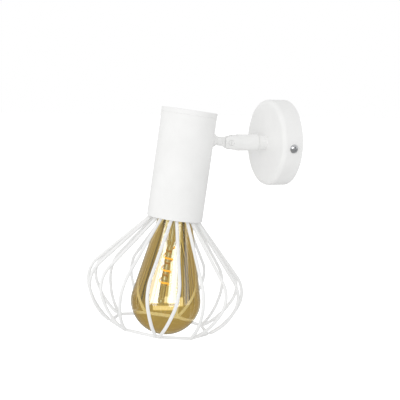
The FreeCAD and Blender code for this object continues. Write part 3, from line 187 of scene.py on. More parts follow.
powder = add(tree, "ShaderNodeBsdfPrincipled", {
    "Base Color": tone.outputs["Color"], "Roughness": gloss.outputs["Result"],
    "Normal": skin.outputs["Normal"], "IOR": 1.5})
tree.links.new(powder.outputs["BSDF"], surface)
print(coat.name, "has its peel drawn", PEEL_MM, "mm wide and its clouds", CLOUD_MM, "mm")

# %% [markdown]
# ## Bare metals
# Screws show bright chrome, hidden hardware is zinc plated, terminals and the earth screw
# are brass, and the E27 thread shell and the bulb's cap are nickel plated. A metal keeps
# the default IOR; its colour and roughness tell one from another. Zinc has soft grey
# patches, brass and nickel have fine drawn lines from the press and the lathe.

# %% Chrome, zinc, brass and nickel
chrome, tree, surface, place = blank_material("chrome_plated_screw")
haze = add(tree, "ShaderNodeTexNoise", {"Vector": place, "Scale": per_mm(2.5), "Detail": 4.0})
polish = add(tree, "ShaderNodeMapRange", {"Value": haze.outputs["Fac"], "To Min": 0.08, "To Max": 0.2})
metal = add(tree, "ShaderNodeBsdfPrincipled", {
    "Base Color": linear("#C9CACC"), "Metallic": 1.0, "Roughness": polish.outputs["Result"]})
tree.links.new(metal.outputs["BSDF"], surface)

zinc, tree, surface, place = blank_material("zinc_plated_steel")
spangle = add(tree, "ShaderNodeTexVoronoi", {"Vector": place, "Scale": per_mm(3.0), "Randomness": 1.0})
grain = add(tree, "ShaderNodeTexNoise", {"Vector": place, "Scale": per_mm(0.8), "Detail": 3.0})
patch = add(tree, "ShaderNodeValToRGB", {"Fac": spangle.outputs["Distance"]})
patch.color_ramp.elements[0].color = linear("#B9BCC0")
patch.color_ramp.elements[1].color = linear("#9FA3A8")
dull = add(tree, "ShaderNodeMapRange", {"Value": grain.outputs["Fac"], "To Min": 0.3, "To Max": 0.48})
pits = add(tree, "ShaderNodeBump", {"Height": grain.outputs["Fac"], "Strength": 0.2, "Distance": 0.00005})
metal = add(tree, "ShaderNodeBsdfPrincipled", {
    "Base Color": patch.outputs["Color"], "Metallic": 1.0, "Roughness": dull.outputs["Result"],
    "Normal": pits.outputs["Normal"]})
tree.links.new(metal.outputs["BSDF"], surface)

brass, tree, surface, place = blank_material("turned_brass")
rings = add(tree, "ShaderNodeTexNoise", {
    "Vector": place, "Scale": per_mm(0.6), "Detail": 2.0, "Distortion": 0.4})
tarnish = add(tree, "ShaderNodeValToRGB", {"Fac": rings.outputs["Fac"]})
tarnish.color_ramp.elements[0].color = linear("#B08D45")
tarnish.color_ramp.elements[1].color = linear("#D9BC74")
worn = add(tree, "ShaderNodeMapRange", {"Value": rings.outputs["Fac"], "To Min": 0.22, "To Max": 0.4})
metal = add(tree, "ShaderNodeBsdfPrincipled", {
    "Base Color": tarnish.outputs["Color"], "Metallic": 1.0, "Roughness": worn.outputs["Result"]})
tree.links.new(metal.outputs["BSDF"], surface)

nickel, tree, surface, place = blank_material("nickel_plated_shell")
press = add(tree, "ShaderNodeTexNoise", {"Vector": place, "Scale": per_mm(1.2), "Detail": 3.0})
shade = add(tree, "ShaderNodeValToRGB", {"Fac": press.outputs["Fac"]})
shade.color_ramp.elements[0].color = linear("#A9A69D")
shade.color_ramp.elements[1].color = linear("#C6C3BA")
satin = add(tree, "ShaderNodeMapRange", {"Value": press.outputs["Fac"], "To Min": 0.2, "To Max": 0.34})
metal = add(tree, "ShaderNodeBsdfPrincipled", {
    "Base Color": shade.outputs["Color"], "Metallic": 1.0, "Roughness": satin.outputs["Result"]})
tree.links.new(metal.outputs["BSDF"], surface)

solder, tree, surface, place = blank_material("tin_solder")
lumps = add(tree, "ShaderNodeTexNoise", {"Vector": place, "Scale": per_mm(1.5), "Detail": 3.0})
swell = add(tree, "ShaderNodeBump", {"Height": lumps.outputs["Fac"], "Strength": 0.5, "Distance": 0.0002})
grey = add(tree, "ShaderNodeValToRGB", {"Fac": lumps.outputs["Fac"]})
grey.color_ramp.elements[0].color = linear("#8D8F92")
grey.color_ramp.elements[1].color = linear("#ABADB0")
metal = add(tree, "ShaderNodeBsdfPrincipled", {
    "Base Color": grey.outputs["Color"], "Metallic": 1.0, "Roughness": 0.45,
    "Normal": swell.outputs["Normal"]})
tree.links.new(metal.outputs["BSDF"], surface)
print("bare metals:", [metal_kind.name for metal_kind in (chrome, zinc, brass, nickel, solder)])

# %% [markdown]
# ## Porcelain, plastic and black glass
# The lampholder is glazed porcelain, which is why its edges look soft and wet. The
# terminal block is moulded polyamide, cloudy and slightly translucent. The ring between
# the bulb's cap and its tip is black glass.

# %% Porcelain, polyamide and black glass
porcelain, tree, surface, place = blank_material("glazed_porcelain")
body = add(tree, "ShaderNodeTexNoise", {"Vector": place, "Scale": per_mm(6.0), "Detail": 3.0})
glaze_tone = add(tree, "ShaderNodeValToRGB", {"Fac": body.outputs["Fac"]})
glaze_tone.color_ramp.elements[0].color = linear("#EAE7DF")
glaze_tone.color_ramp.elements[1].color = linear("#F4F2EC")
ripple = add(tree, "ShaderNodeBump", {"Height": body.outputs["Fac"], "Strength": 0.15, "Distance": 0.0003})
clay = add(tree, "ShaderNodeBsdfPrincipled", {
    "Base Color": glaze_tone.outputs["Color"], "Roughness": 0.3, "Normal": ripple.outputs["Normal"],
    "Coat Weight": 1.0, "Coat Roughness": 0.04})
tree.links.new(clay.outputs["BSDF"], surface)

polyamide, tree, surface, place = blank_material("moulded_polyamide")
flow = add(tree, "ShaderNodeTexNoise", {"Vector": place, "Scale": per_mm(4.0), "Detail": 2.0})
milk = add(tree, "ShaderNodeValToRGB", {"Fac": flow.outputs["Fac"]})
milk.color_ramp.elements[0].color = linear("#E4E1D6")
milk.color_ramp.elements[1].color = linear("#F0EEE6")
plastic = add(tree, "ShaderNodeBsdfPrincipled", {
    "Base Color": milk.outputs["Color"], "Roughness": 0.45, "Subsurface Weight": 0.3,
    "Subsurface Radius": (0.002, 0.0018, 0.0015)})
tree.links.new(plastic.outputs["BSDF"], surface)

black_glass, tree, surface, place = blank_material("black_glass_insulator")
swirl = add(tree, "ShaderNodeTexNoise", {"Vector": place, "Scale": per_mm(2.0), "Detail": 2.0})
soot = add(tree, "ShaderNodeValToRGB", {"Fac": swirl.outputs["Fac"]})
soot.color_ramp.elements[0].color = linear("#16161A")
soot.color_ramp.elements[1].color = linear("#2A2A30")
glass = add(tree, "ShaderNodeBsdfPrincipled", {"Base Color": soot.outputs["Color"], "Roughness": 0.12})
tree.links.new(glass.outputs["BSDF"], surface)
print("insulators:", [insulator.name for insulator in (porcelain, polyamide, black_glass)])

# %% [markdown]
# ## Amber glass, clear glass, filament and support wire
# The bulb is blown soda-lime glass, dipped in an amber lacquer that ends up a little
# deeper where the eye looks along the wall, near the outline. Light goes through the near
# wall and the far wall, so each wall carries the square root of the tint that shows. The
# stem inside is clear glass. The filament is a wire of tiny light chips under an orange
# phosphor silicone. Its orange is a painted glow, an emission in small beads, and its
# side towards the stem is painted dull, as painted shade: an attribute of the mesh,
# `outward`, carries that.
# the wire is dull towards it: an attribute of the mesh, `outward`, carries that.

# %% Amber and clear glass
amber, tree, surface, place = blank_material("amber_lacquered_glass")
grazing = add(tree, "ShaderNodeLayerWeight", {"Blend": 0.35})
streak_scale = add(tree, "ShaderNodeMapping", {"Vector": place, "Scale": (1.0, 1.0, 0.12)})
streak = add(tree, "ShaderNodeTexNoise", {"Vector": streak_scale.outputs["Vector"], "Scale": per_mm(5.0),
                                          "Detail": 2.0})
depth = add(tree, "ShaderNodeMath", {0: streak.outputs["Fac"], 1: 0.12}, operation="MULTIPLY")
deeper = add(tree, "ShaderNodeMath", {0: grazing.outputs["Facing"], 1: depth.outputs["Value"]},
             operation="ADD")
tint = add(tree, "ShaderNodeValToRGB", {"Fac": deeper.outputs["Value"]})
tint.color_ramp.elements[0].position = 0.1
tint.color_ramp.elements[0].color = linear("#FCEFC2")
tint.color_ramp.elements[1].position = 0.95
tint.color_ramp.elements[1].color = linear("#E2CB92")
envelope_glass = add(tree, "ShaderNodeBsdfPrincipled", {
    "Base Color": tint.outputs["Color"], "Roughness": 0.0, "IOR": 1.5, "Transmission Weight": 1.0})
tree.links.new(envelope_glass.outputs["BSDF"], surface)

clear, tree, surface, place = blank_material("clear_stem_glass")
seeds = add(tree, "ShaderNodeTexNoise", {"Vector": place, "Scale": per_mm(3.0), "Detail": 2.0})
faint = add(tree, "ShaderNodeValToRGB", {"Fac": seeds.outputs["Fac"]})
faint.color_ramp.elements[0].color = linear("#E9E6DA")
faint.color_ramp.elements[1].color = linear("#F6F5F0")
pull = add(tree, "ShaderNodeBump", {"Height": seeds.outputs["Fac"], "Strength": 0.3, "Distance": 0.0004})
stem_glass = add(tree, "ShaderNodeBsdfPrincipled", {
    "Base Color": faint.outputs["Color"], "Roughness": 0.02, "IOR": 1.5, "Transmission Weight": 1.0,
    "Normal": pull.outputs["Normal"]})
tree.links.new(stem_glass.outputs["BSDF"], surface)

# %% Filament with a painted glow, and support wire
glow, tree, surface, place = blank_material("phosphor_filament_painted_glow")
beads = add(tree, "ShaderNodeTexNoise", {"Vector": place, "Scale": per_mm(1.0), "Detail": 1.0})
warmth = add(tree, "ShaderNodeValToRGB", {"Fac": beads.outputs["Fac"]})
warmth.color_ramp.elements[0].position = 0.3
warmth.color_ramp.elements[0].color = linear("#EE9E14")
warmth.color_ramp.elements[1].position = 0.7
warmth.color_ramp.elements[1].color = linear("#FAC322")
# painted glow on the side away from the stem, painted dull shade on the side towards it
outward = add(tree, "ShaderNodeAttribute", attribute_name="outward")
painted_glow_side = add(tree, "ShaderNodeMapRange", {"Value": outward.outputs["Fac"], "From Min": -0.6, "From Max": 0.3,
                                         "To Min": 0.0, "To Max": 1.0})
lit = add(tree, "ShaderNodeMix", {
    "Factor": painted_glow_side.outputs["Result"], MIX_A: linear("#4A3A1E"), MIX_B: warmth.outputs["Color"]},
    data_type="RGBA")
# the emission is the filament's painted glow
phosphor = add(tree, "ShaderNodeBsdfPrincipled", {
    "Base Color": linear("#B9862A"), "Roughness": 0.5, "Emission Color": lit.outputs[MIX_RESULT],
    "Emission Strength": 1.0})
tree.links.new(phosphor.outputs["BSDF"], surface)

wire, tree, surface, place = blank_material("drawn_support_wire")
drawn = add(tree, "ShaderNodeTexNoise", {"Vector": place, "Scale": per_mm(0.4), "Detail": 2.0})
steel = add(tree, "ShaderNodeValToRGB", {"Fac": drawn.outputs["Fac"]})
steel.color_ramp.elements[0].color = linear("#A9632E")
steel.color_ramp.elements[1].color = linear("#CB8548")
metal = add(tree, "ShaderNodeBsdfPrincipled", {
    "Base Color": steel.outputs["Color"], "Metallic": 1.0, "Roughness": 0.35})
tree.links.new(metal.outputs["BSDF"], surface)
print("the bulb's finishes:", [part.name for part in (amber, clear, glow, wire)])

# %% [markdown]
# ## Finishes on the CAD nodes
# Each CAD node keeps its exact solid and gets the finish of its material slot. The record
# names the slot of every node, so one table from slot to material does it. The pivot
# screw is the one exception: it shares the side screws' slot, but it was painted with the
# arm, so it gets the coat.

# %% Dress the CAD nodes
FINISHES = {
    "white_coat": coat, "chrome_screw": chrome, "zinc_steel": zinc, "brass_parts": brass,
    "pale_plastic": polyamide, "porcelain": porcelain, "nickel_shell": nickel,
    "dark_insulator": black_glass, "solder_tip": solder, "amber_glass": amber,
    "clear_glass": clear, "glowing_filament": glow, "support_wire": wire}
slot_of = {row["node"]: row["material_slot"] for row in frame["record"]["subparts"]}
for node, thing in frame["nodes"].items():
    thing.data.materials.clear()
    thing.data.materials.append(FINISHES[slot_of[node]])
frame["nodes"]["pivot_screw"].data.materials[0] = coat
print("dressed", len(slot_of), "CAD nodes in", len(set(slot_of.values())), "finishes")

# %% [markdown]
# ## Surfaces from numbers
# Every new piece is a grid of points worked out with numpy: rows run along the piece and
# columns round it. A row whose points all fall together is a pole and becomes one point,
# so that no seam or hole is left. A closed grid can come out wound either way, and faces
# that look inward spoil glass and glow, so its volume is worked out first, and the
# winding is turned where that is negative. Several grids may make one piece, as a welded
# loop and its weld beads do.

# %% Grids to meshes
def grid_faces(points, wrap_rows, wrap_columns):
    """Merges pole rows and returns (points, quads, triangles) of a grid shaped (rows, columns, 3)."""
    rows, columns = points.shape[:2]
    index = np.arange(rows * columns).reshape(rows, columns)
    poles = np.ptp(points, axis=1).max(axis=1) < 1e-9
    index[poles] = index[poles][:, :1]
    below = np.roll(index, -1, axis=0) if wrap_rows else index[1:]
    above = index if wrap_rows else index[:-1]
    if wrap_columns:
        quads = np.stack([above, below, np.roll(below, -1, axis=1), np.roll(above, -1, axis=1)], axis=-1)
    else:
        quads = np.stack([above[:, :-1], below[:, :-1], below[:, 1:], above[:, 1:]], axis=-1)
    quads = quads.reshape(-1, 4)
    top_pole = quads[:, 0] == quads[:, 3]
    low_pole = quads[:, 1] == quads[:, 2]
    triangles = np.concatenate([quads[top_pole & ~low_pole][:, :3],
                                quads[low_pole & ~top_pole][:, [0, 1, 3]]])
    quads = quads[~top_pole & ~low_pole]
    used, fresh = np.unique(np.concatenate([quads.ravel(), triangles.ravel()]), return_inverse=True)
    split = quads.size
    return points.reshape(-1, 3)[used], fresh[:split].reshape(-1, 4), fresh[split:].reshape(-1, 3)


def facing_out(points, quads, triangles):
    """The same faces, wound so that the volume they enclose, the sum of a . (b x c) / 6, is positive."""
    corners = points[np.concatenate([quads[:, [0, 1, 2]], quads[:, [0, 2, 3]], triangles])]
    volume = np.einsum("ij,ij->", corners[:, 0], np.cross(corners[:, 1], corners[:, 2])) / 6
    if volume < 0:
        return quads[:, ::-1], triangles[:, ::-1]
    return quads, triangles


def make_piece(name, grids, material, body, stands_for=()):
    """One smooth mesh object on a body, from grids: (row-frame points in mm, wrap_rows, wrap_columns)."""
    all_points, all_faces, start = [], [], 0
    for points, wrap_rows, wrap_columns in grids:
        used, quads, triangles = grid_faces(points, wrap_rows, wrap_columns)
        quads, triangles = facing_out(used, quads, triangles)
        all_points.append(used)
        all_faces += (quads + start).tolist() + (triangles + start).tolist()
        start += len(used)
    mesh = bpy.data.meshes.new(name)
    mesh.from_pydata(mm(np.concatenate(all_points)).tolist(), [], all_faces)
    mesh.polygons.foreach_set("use_smooth", np.ones(len(all_faces), bool))
    mesh.materials.append(material)
    mesh.update()
    piece = bpy.data.objects.new(name, mesh)
    bpy.context.scene.collection.objects.link(piece)
    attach(piece, body)
    if stands_for:
        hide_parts(*stands_for)
    print(name, "has", len(all_faces), "faces")
    return piece


def arc(centre, radius, start, end, count):
    """Points of an arc in a plane: centre + radius (cos t, sin t), t in degrees from start to end."""
    t = np.radians(np.linspace(start, end, count))
    return np.stack([centre[0] + radius * np.cos(t), centre[1] + radius * np.sin(t)], axis=1)


def turned_up(profile, around):
    """Turns a (radius, height) profile about the tube's axis: (r cos a, r sin a, z) for every angle a."""
    a = np.linspace(0, 2 * np.pi, around, endpoint=False)
    r, z = profile[:, :1], profile[:, 1:]
    return np.stack([r * np.cos(a), r * np.sin(a), z + 0 * a], axis=-1)


# %% [markdown]
# ## The bulb's envelope
# The pear is blown in one go, so its outline is a chain of curves that meet smoothly: a
# small tucked arc at the neck, a straight side, the wide shoulder arc and a flat arc
# across the bottom. The inner wall is the same chain drawn 0.8 mm further in. Drawing both
# walls matters: light bends into the glass and out again, and each wall mirrors the room.
# The bulb doesn't stand quite true in its lampholder, so its points are turned by a small
# lean, about a level line, before they join the head.

# %% Bulb envelope
BULB_BOTTOM = -107.5
GLASS_TOP = 10.59
BULB_R = 32.0
SHOULDER_R = 26.3
WIDEST_H = 30.6
NECK_R = 12.55
TUCK_R = 2.8
TUCK_ANGLE = 70.0
TUCK_DROP = 5.6
WALL = 0.8
TUCK_STEPS, SIDE_STEPS, SHOULDER_STEPS, BOTTOM_STEPS = 10, 28, 48, 22
ENVELOPE_AROUND = 128


def pear_profile(inset):
    """The pear's outline, neck to bottom pole: arcs whose common tangent is the straight side."""
    neck, shoulder, tuck = NECK_R - inset, SHOULDER_R - inset, TUCK_R - inset
    shoulder_x, shoulder_z = BULB_R - SHOULDER_R, BULB_BOTTOM + WIDEST_H
    bottom_r = (shoulder_x ** 2 + WIDEST_H ** 2 - SHOULDER_R ** 2) / (2 * (WIDEST_H - SHOULDER_R))
    bottom_z = BULB_BOTTOM + bottom_r
    join = np.degrees(np.arctan2(bottom_z - shoulder_z, shoulder_x))
    tuck_x = NECK_R - TUCK_R * np.cos(np.radians(TUCK_ANGLE))
    tuck_z = GLASS_TOP - TUCK_DROP
    neck_angle = np.degrees(np.arccos((neck - tuck_x) / tuck))
    apart = np.hypot(tuck_x - shoulder_x, tuck_z - shoulder_z)
    lean = np.degrees(np.arctan2(tuck_z - shoulder_z, tuck_x - shoulder_x)
                      - np.arccos((shoulder - tuck) / apart))
    tuck_arc = arc((tuck_x, tuck_z), tuck, neck_angle, lean, TUCK_STEPS)
    shoulder_arc = arc((shoulder_x, shoulder_z), shoulder, lean, -join, SHOULDER_STEPS)
    side = np.linspace(tuck_arc[-1], shoulder_arc[0], SIDE_STEPS)[1:-1]
    bottom = arc((0, bottom_z), bottom_r - inset, -join, -90, BOTTOM_STEPS)[1:]
    bottom[-1, 0] = 0.0
    return np.concatenate([[(neck, GLASS_TOP)], tuck_arc, side, shoulder_arc, bottom])


# %% The bulb's lean, and its piece
BULB_LEAN = 1.5
LEAN_HEIGHT = 22.0
VIEW_ACROSS = np.array([np.cos(radians(AZIMUTH)), np.sin(radians(AZIMUTH)), 0.0])


def from_bulb(points):
    """Bulb-axis points (mm) in the row's frame (mm), leaning by the angle a about the lean's height.

    With s the distance along the picture's left-right line, s becomes s cos a - z sin a, and z becomes
    z cos a + s sin a.
    """
    angle = radians(BULB_LEAN)
    points = np.asarray(points, float) - [0, 0, LEAN_HEIGHT]
    sideways, height = points @ VIEW_ACROSS, points[..., 2]
    shift = sideways * (np.cos(angle) - 1) - height * np.sin(angle)
    leaning = points + shift[..., None] * VIEW_ACROSS
    leaning[..., 2] = height * np.cos(angle) + sideways * np.sin(angle)
    return from_head(leaning + [0, 0, LEAN_HEIGHT])


walls = np.concatenate([pear_profile(0.0), pear_profile(WALL)[::-1]])
make_piece("bulb_envelope", [(from_bulb(turned_up(walls, ENVELOPE_AROUND)), True, True)],
           amber, "head", ["bulb_glass"])

# %% [markdown]
# ## The stem
# A clear glass stem is sealed into the bulb's neck and runs down the middle, first as a
# tube and then as a rod with a small button. The glass of the bulb magnifies it, so the
# rod is drawn as wide as it shows. Stems are sealed in by hand and seldom hang quite
# true: this one drifts steadily to the picture's left on its way down.

# %% Stem
STEM_TUBE_R = 4.5
STEM_ROD_R = 2.9
STEM_PINCH = GLASS_TOP - 35.0
STEM_BOTTOM = BULB_BOTTOM + 30.5
BUTTON_R = 3.3
STEM_DRIFT = 0.05
FLARE_GAP = 0.05
FLARE_DEPTH = 10.0
PINCH_ABOVE = 5.0
PINCH_LENGTH = 8.0
STEM_AROUND = 48
EASE_STEPS = 24
BUTTON_STEPS = 14


def from_stem(points):
    """Stem points (mm) in the row's frame (mm), moved sideways by a fixed share of the way down."""
    points = np.asarray(points, float)
    return from_bulb(points + STEM_DRIFT * (points[..., 2:] - GLASS_TOP) * VIEW_ACROSS)


# the flare closes in like a trumpet: the radius falls with the square of the way down
way = np.linspace(0, 1, EASE_STEPS)[:, None]
flare_r = NECK_R - WALL - FLARE_GAP
flare_radii = STEM_TUBE_R + (flare_r - STEM_TUBE_R) * (1 - way) ** 2
flare = np.concatenate([flare_radii, GLASS_TOP - FLARE_DEPTH * way], axis=1)
# the pinch eases from the tube to the rod along half a cosine wave
pinch_radii = STEM_ROD_R + (STEM_TUBE_R - STEM_ROD_R) * (1 + np.cos(np.pi * way)) / 2
pinch = np.concatenate([pinch_radii, STEM_PINCH + PINCH_ABOVE - PINCH_LENGTH * way], axis=1)
button_start = np.degrees(np.arccos(STEM_ROD_R / BUTTON_R))
button = arc((0, STEM_BOTTOM), BUTTON_R, button_start, -90, BUTTON_STEPS)
button[-1, 0] = 0.0
stem_profile = np.concatenate([[(0, GLASS_TOP)], flare, pinch, button])
make_piece("bulb_stem_glass", [(from_stem(turned_up(stem_profile, STEM_AROUND)), False, True)],
           clear, "head", ["bulb_stem"])

# %% [markdown]
# ## Round wires along a path
# A bent wire is a circle carried along its path. At each point of the path the circle
# stands square to the direction of travel. Two directions across it come from a fixed
# reference that the path never runs along, so the wire doesn't twist.

# %% Wires
NOSE_SHARE = 0.5
NOSE_RINGS = 6
LEAST_ARC_POINTS = 9


def wire_grid(path, radius, around, closed, reference):
    """Path (n, 3) to a wire's grid: p + r (N cos a + B sin a), N = reference x T, B = T x N."""
    ahead = np.roll(path, -1, axis=0) - path
    behind = path - np.roll(path, 1, axis=0)
    along = ahead + behind
    if not closed:
        along[0], along[-1] = ahead[0], behind[-1]
    along /= np.linalg.norm(along, axis=1, keepdims=True)
    side = np.cross(reference, along)
    side /= np.linalg.norm(side, axis=1, keepdims=True)
    other = np.cross(along, side)
    a = np.linspace(0, 2 * np.pi, around, endpoint=False)[None, :, None]
    ring = side[:, None] * np.cos(a) + other[:, None] * np.sin(a)
    grid = path[:, None] + radius * ring
    if closed:
        return grid
    # a round nose closes each end: the circle shrinks as the path goes on, along a quarter of an ellipse
    t = np.radians(np.linspace(0, 90, NOSE_RINGS))[1:, None, None]
    nose = radius * NOSE_SHARE * np.sin(t)
    first = path[0] - nose * along[0] + radius * np.cos(t) * ring[0][None]
    last = path[-1] + nose * along[-1] + radius * np.cos(t) * ring[-1][None]
    first[-1], last[-1] = first[-1].mean(axis=0), last[-1].mean(axis=0)
    return np.concatenate([first[::-1], grid, last])


def bent_path(corners, radii, closed, step):
    """Straight runs joined by tangent arcs at the corners, as points about step apart on the arcs."""
    corners = np.asarray(corners, float)
    count = len(corners)
    parts = [] if closed else [corners[:1]]
    for number in range(0 if closed else 1, count if closed else count - 1):
        corner = corners[number]
        back_way = corners[number - 1] - corner
        on_way = corners[(number + 1) % count] - corner
        back_way /= np.linalg.norm(back_way)
        on_way /= np.linalg.norm(on_way)
        half = np.arccos(back_way @ on_way) / 2
        radius = radii[number if closed else number - 1]
        inward = (back_way + on_way) / np.linalg.norm(back_way + on_way)
        centre = corner + inward * radius / np.sin(half)
        start = corner + back_way * radius / np.tan(half) - centre
        across = -radius * back_way
        sweep = np.pi - 2 * half
        t = np.linspace(0, sweep, max(LEAST_ARC_POINTS, int(radius * sweep / step)))[:, None]
        parts.append(centre + start * np.cos(t) + across * np.sin(t))
    if not closed:
        parts.append(corners[-1:])
    return np.concatenate(parts)


# %% [markdown]
# ## The filament
# A soft wire with a painted glow is wound a little over three times round the rod and is
# hooked to a short wire at each end. Seen from the front, each strand crosses the stem
# almost level and drops where it passes behind, so the height falls with the angle less a
# share of its sine. A plain helix would cross the front on a slant.

# %% Filament
FILAMENT_R = 0.8
COIL_R = 4.3
PITCHES = 4
COIL_START_TURNS = 0.125
COIL_END_TURNS = 3.4
TOP_BELOW_PINCH = 2.0
END_ABOVE_BUTTON = 5.0
FRONT = radians(AZIMUTH - 90.0)
STEP_SHARE = 0.85
COIL_POINTS = 400
AROUND_COIL = 12
STRAIGHT_UP = np.array([0, 0, 1.0])
filament_top = STEM_PINCH - TOP_BELOW_PINCH
pitch = (filament_top - STEM_BOTTOM - END_ABOVE_BUTTON) / PITCHES
turn = 2 * np.pi * np.linspace(COIL_START_TURNS, COIL_END_TURNS, COIL_POINTS)
fall = turn - STEP_SHARE * np.sin(turn - FRONT)
helix = np.stack([COIL_R * np.cos(turn), COIL_R * np.sin(turn), filament_top - pitch * fall / (2 * np.pi)],
                 axis=1)
coil_grid = wire_grid(helix, FILAMENT_R, AROUND_COIL, False, STRAIGHT_UP)
coil = make_piece("bulb_filament_coil", [(from_stem(coil_grid), False, True)],
                  glow, "head", ["bulb_filament"])
print("filament pitch, mm:", round(float(pitch), 2))

# %% [markdown]
# The attribute `outward` of the filament's mesh is the cosine of the angle between a
# point's normal and the way from the stem's axis to that point: 1 on the side that faces
# away from the stem, -1 on the side that faces it.

# %% Which side of the filament gets the painted glow
axis_points = mm(from_stem([[0, 0, 0], [0, 0, 1]]))
axis_way = axis_points[1] - axis_points[0]
axis_way /= np.linalg.norm(axis_way)
spots = np.empty(3 * len(coil.data.vertices))
normals = np.empty(3 * len(coil.data.vertices))
coil.data.vertices.foreach_get("co", spots)
coil.data.vertices.foreach_get("normal", normals)
away = spots.reshape(-1, 3) - axis_points[0]
away -= np.outer(away @ axis_way, axis_way)
away /= np.linalg.norm(away, axis=1, keepdims=True)
facing = (normals.reshape(-1, 3) * away).sum(axis=1).astype(np.float32)
outward_share = coil.data.attributes.new("outward", "FLOAT", "POINT")
outward_share.data.foreach_set("value", facing)
print("outward runs from", round(float(facing.min()), 2), "to", round(float(facing.max()), 2))

# %% Support wires
SUPPORT_R = 0.3
HOOK_RISE = 16.0
HOOK_KNEE = 1.2
HOOK_BEND_R = 0.6
HOOK_STEP = 0.1
LOWER_HOOK_POINTS = 12
AROUND_SUPPORT = 10
top_end, low_end = helix[0], helix[-1]
top_out = top_end[:2] / np.linalg.norm(top_end[:2])
low_out = low_end[:2] / np.linalg.norm(low_end[:2])
hook_r = STEM_TUBE_R + 2 * SUPPORT_R
hook_corners = [(*(top_out * hook_r), filament_top + HOOK_RISE),
                (*(top_out * hook_r), filament_top + HOOK_KNEE), top_end]
upper_hook = bent_path(hook_corners, [HOOK_BEND_R], False, HOOK_STEP)
lower_start = (*(low_out * (BUTTON_R + SUPPORT_R)), STEM_BOTTOM)
lower_hook = np.linspace(lower_start, low_end, LOWER_HOOK_POINTS)
upper_wire = wire_grid(upper_hook, SUPPORT_R, AROUND_SUPPORT, False, np.array([top_out[1], -top_out[0], 0]))
lower_wire = wire_grid(lower_hook, SUPPORT_R, AROUND_SUPPORT, False, np.array([low_out[1], -low_out[0], 0]))
make_piece("bulb_support_wires",
           [(from_stem(upper_wire), False, True), (from_stem(lower_wire), False, True)],
           wire, "head", ["bulb_supports"])

# %% [markdown]
# ## The cage
# Nine pointed loops of 3 mm wire hang from the collar in the tube's mouth. Each goes down
# and out over the belly, in to a tip, and back up the other side, mirrored. A foot ring
# with nine straight sides is bent at each tip and welded under it. Resistance welding
# leaves a small soft bead under every tip and a fillet at the top of every leg, and the
# powder rounds them over.

# %% Cage sizes
WIRE_R = 1.5
AROUND_WIRE = 16
PETALS = 9
FIRST_PETAL = -22.0
LEG_TOP = (21.2, 2.4)
LEG_END_H = 4.0
SHOULDER = (74.2, 14.8, -58.5)
LOW = (60.4, 6.1, -89.4)
TIP = (42.6, 0.0, -102.6)
LEG_BEND_R = 3.2
TIP_BEND_R = 2.2
LOOP_STEP = 0.9
# how much of the runs before and after its corner a bend may use
SHOULDER_SHARES = (0.9, 0.49)
LOW_SHARES = (0.5, 0.63)


def widest_bend(before, corner, after, share_before, share_after):
    """The largest bend radius at a corner that uses no more than these shares of the runs beside it."""
    one, two = np.subtract(before, corner), np.subtract(after, corner)
    cut = min(np.linalg.norm(one) * share_before, np.linalg.norm(two) * share_after)
    half = np.arccos(one @ two / np.linalg.norm(one) / np.linalg.norm(two)) / 2
    return cut * np.tan(half)


def about_axis(points, degrees_round):
    """Points turned about the tube's axis."""
    a = radians(degrees_round)
    return points @ np.array([[np.cos(a), np.sin(a), 0], [-np.sin(a), np.cos(a), 0], [0, 0, 1]])


leg = [(*LEG_TOP, LEG_END_H), (*LEG_TOP, 0.0), SHOULDER, LOW]
mirrored = [(x, -y, z) for x, y, z in reversed(leg)]
shoulder_bend = widest_bend(leg[1], SHOULDER, LOW, *SHOULDER_SHARES)
low_bend = widest_bend(SHOULDER, LOW, TIP, *LOW_SHARES)
loop_bends = [LEG_BEND_R, shoulder_bend, low_bend, TIP_BEND_R, low_bend, shoulder_bend, LEG_BEND_R]
loop_path = bent_path(leg + [TIP] + mirrored, loop_bends, False, LOOP_STEP)
print("bends of a loop, mm:", [round(float(r), 1) for r in loop_bends[:4]])

# %% [markdown]
# A weld bead is an egg: half as high as it is wide, stretched along the ring where the
# two wires lie together. The egg's surface is (a cos u cos v, b sin u cos v, c sin v). The
# rounded inside of a tip lies a little way back from its corner, which sets where the
# ring and the bead go.

# %% Loops, beads and foot ring
def egg(centre, axes, sizes, around=16, up_count=9):
    """An ellipsoid grid: centre + s1 cos v cos u A1 + s2 cos v sin u A2 + s3 sin v A3."""
    u = np.linspace(0, 2 * np.pi, around, endpoint=False)[None, :, None]
    v = np.radians(np.linspace(90, -90, up_count))[:, None, None]
    flat = np.cos(v) * (sizes[0] * np.cos(u) * axes[0] + sizes[1] * np.sin(u) * axes[1])
    grid = centre + flat + sizes[2] * np.sin(v) * axes[2]
    grid[0], grid[-1] = grid[0].mean(axis=0), grid[-1].mean(axis=0)
    return grid


RING_GAP = 3.05
RING_UNDER = radians(25.0)
RING_BEND_R = 4.0
RING_STEP = 0.3
WELD_BEAD = (1.15, 1.9, 0.95)
WELD_FILLET = (2.3, 2.3, 2.2)
run_in = np.hypot(LOW[0] - TIP[0], LOW[2] - TIP[2])
tip_half = np.arctan2(LOW[1], run_in)
set_back = (TIP_BEND_R / np.sin(tip_half) - TIP_BEND_R) / run_in
apex = np.array([TIP[0] + set_back * (LOW[0] - TIP[0]), 0.0, TIP[2] + set_back * (LOW[2] - TIP[2])])
down_in = np.array([-np.cos(RING_UNDER), 0.0, -np.sin(RING_UNDER)])
ring_point = apex + RING_GAP * down_in
corner_r = ring_point[0] + RING_BEND_R * (1 / np.cos(np.pi / PETALS) - 1)
bead_axes = np.array([down_in, [0, 1, 0], np.cross(down_in, [0, 1, 0])])
bead = egg(apex + 0.5 * RING_GAP * down_in, bead_axes, WELD_BEAD)
fillets = [egg(np.array([LEG_TOP[0], side * LEG_TOP[1], LEG_END_H]), np.eye(3), WELD_FILLET)
           for side in (1, -1)]
loop_grid = wire_grid(loop_path, WIRE_R, AROUND_WIRE, False, np.array([1.0, 0, 0]))
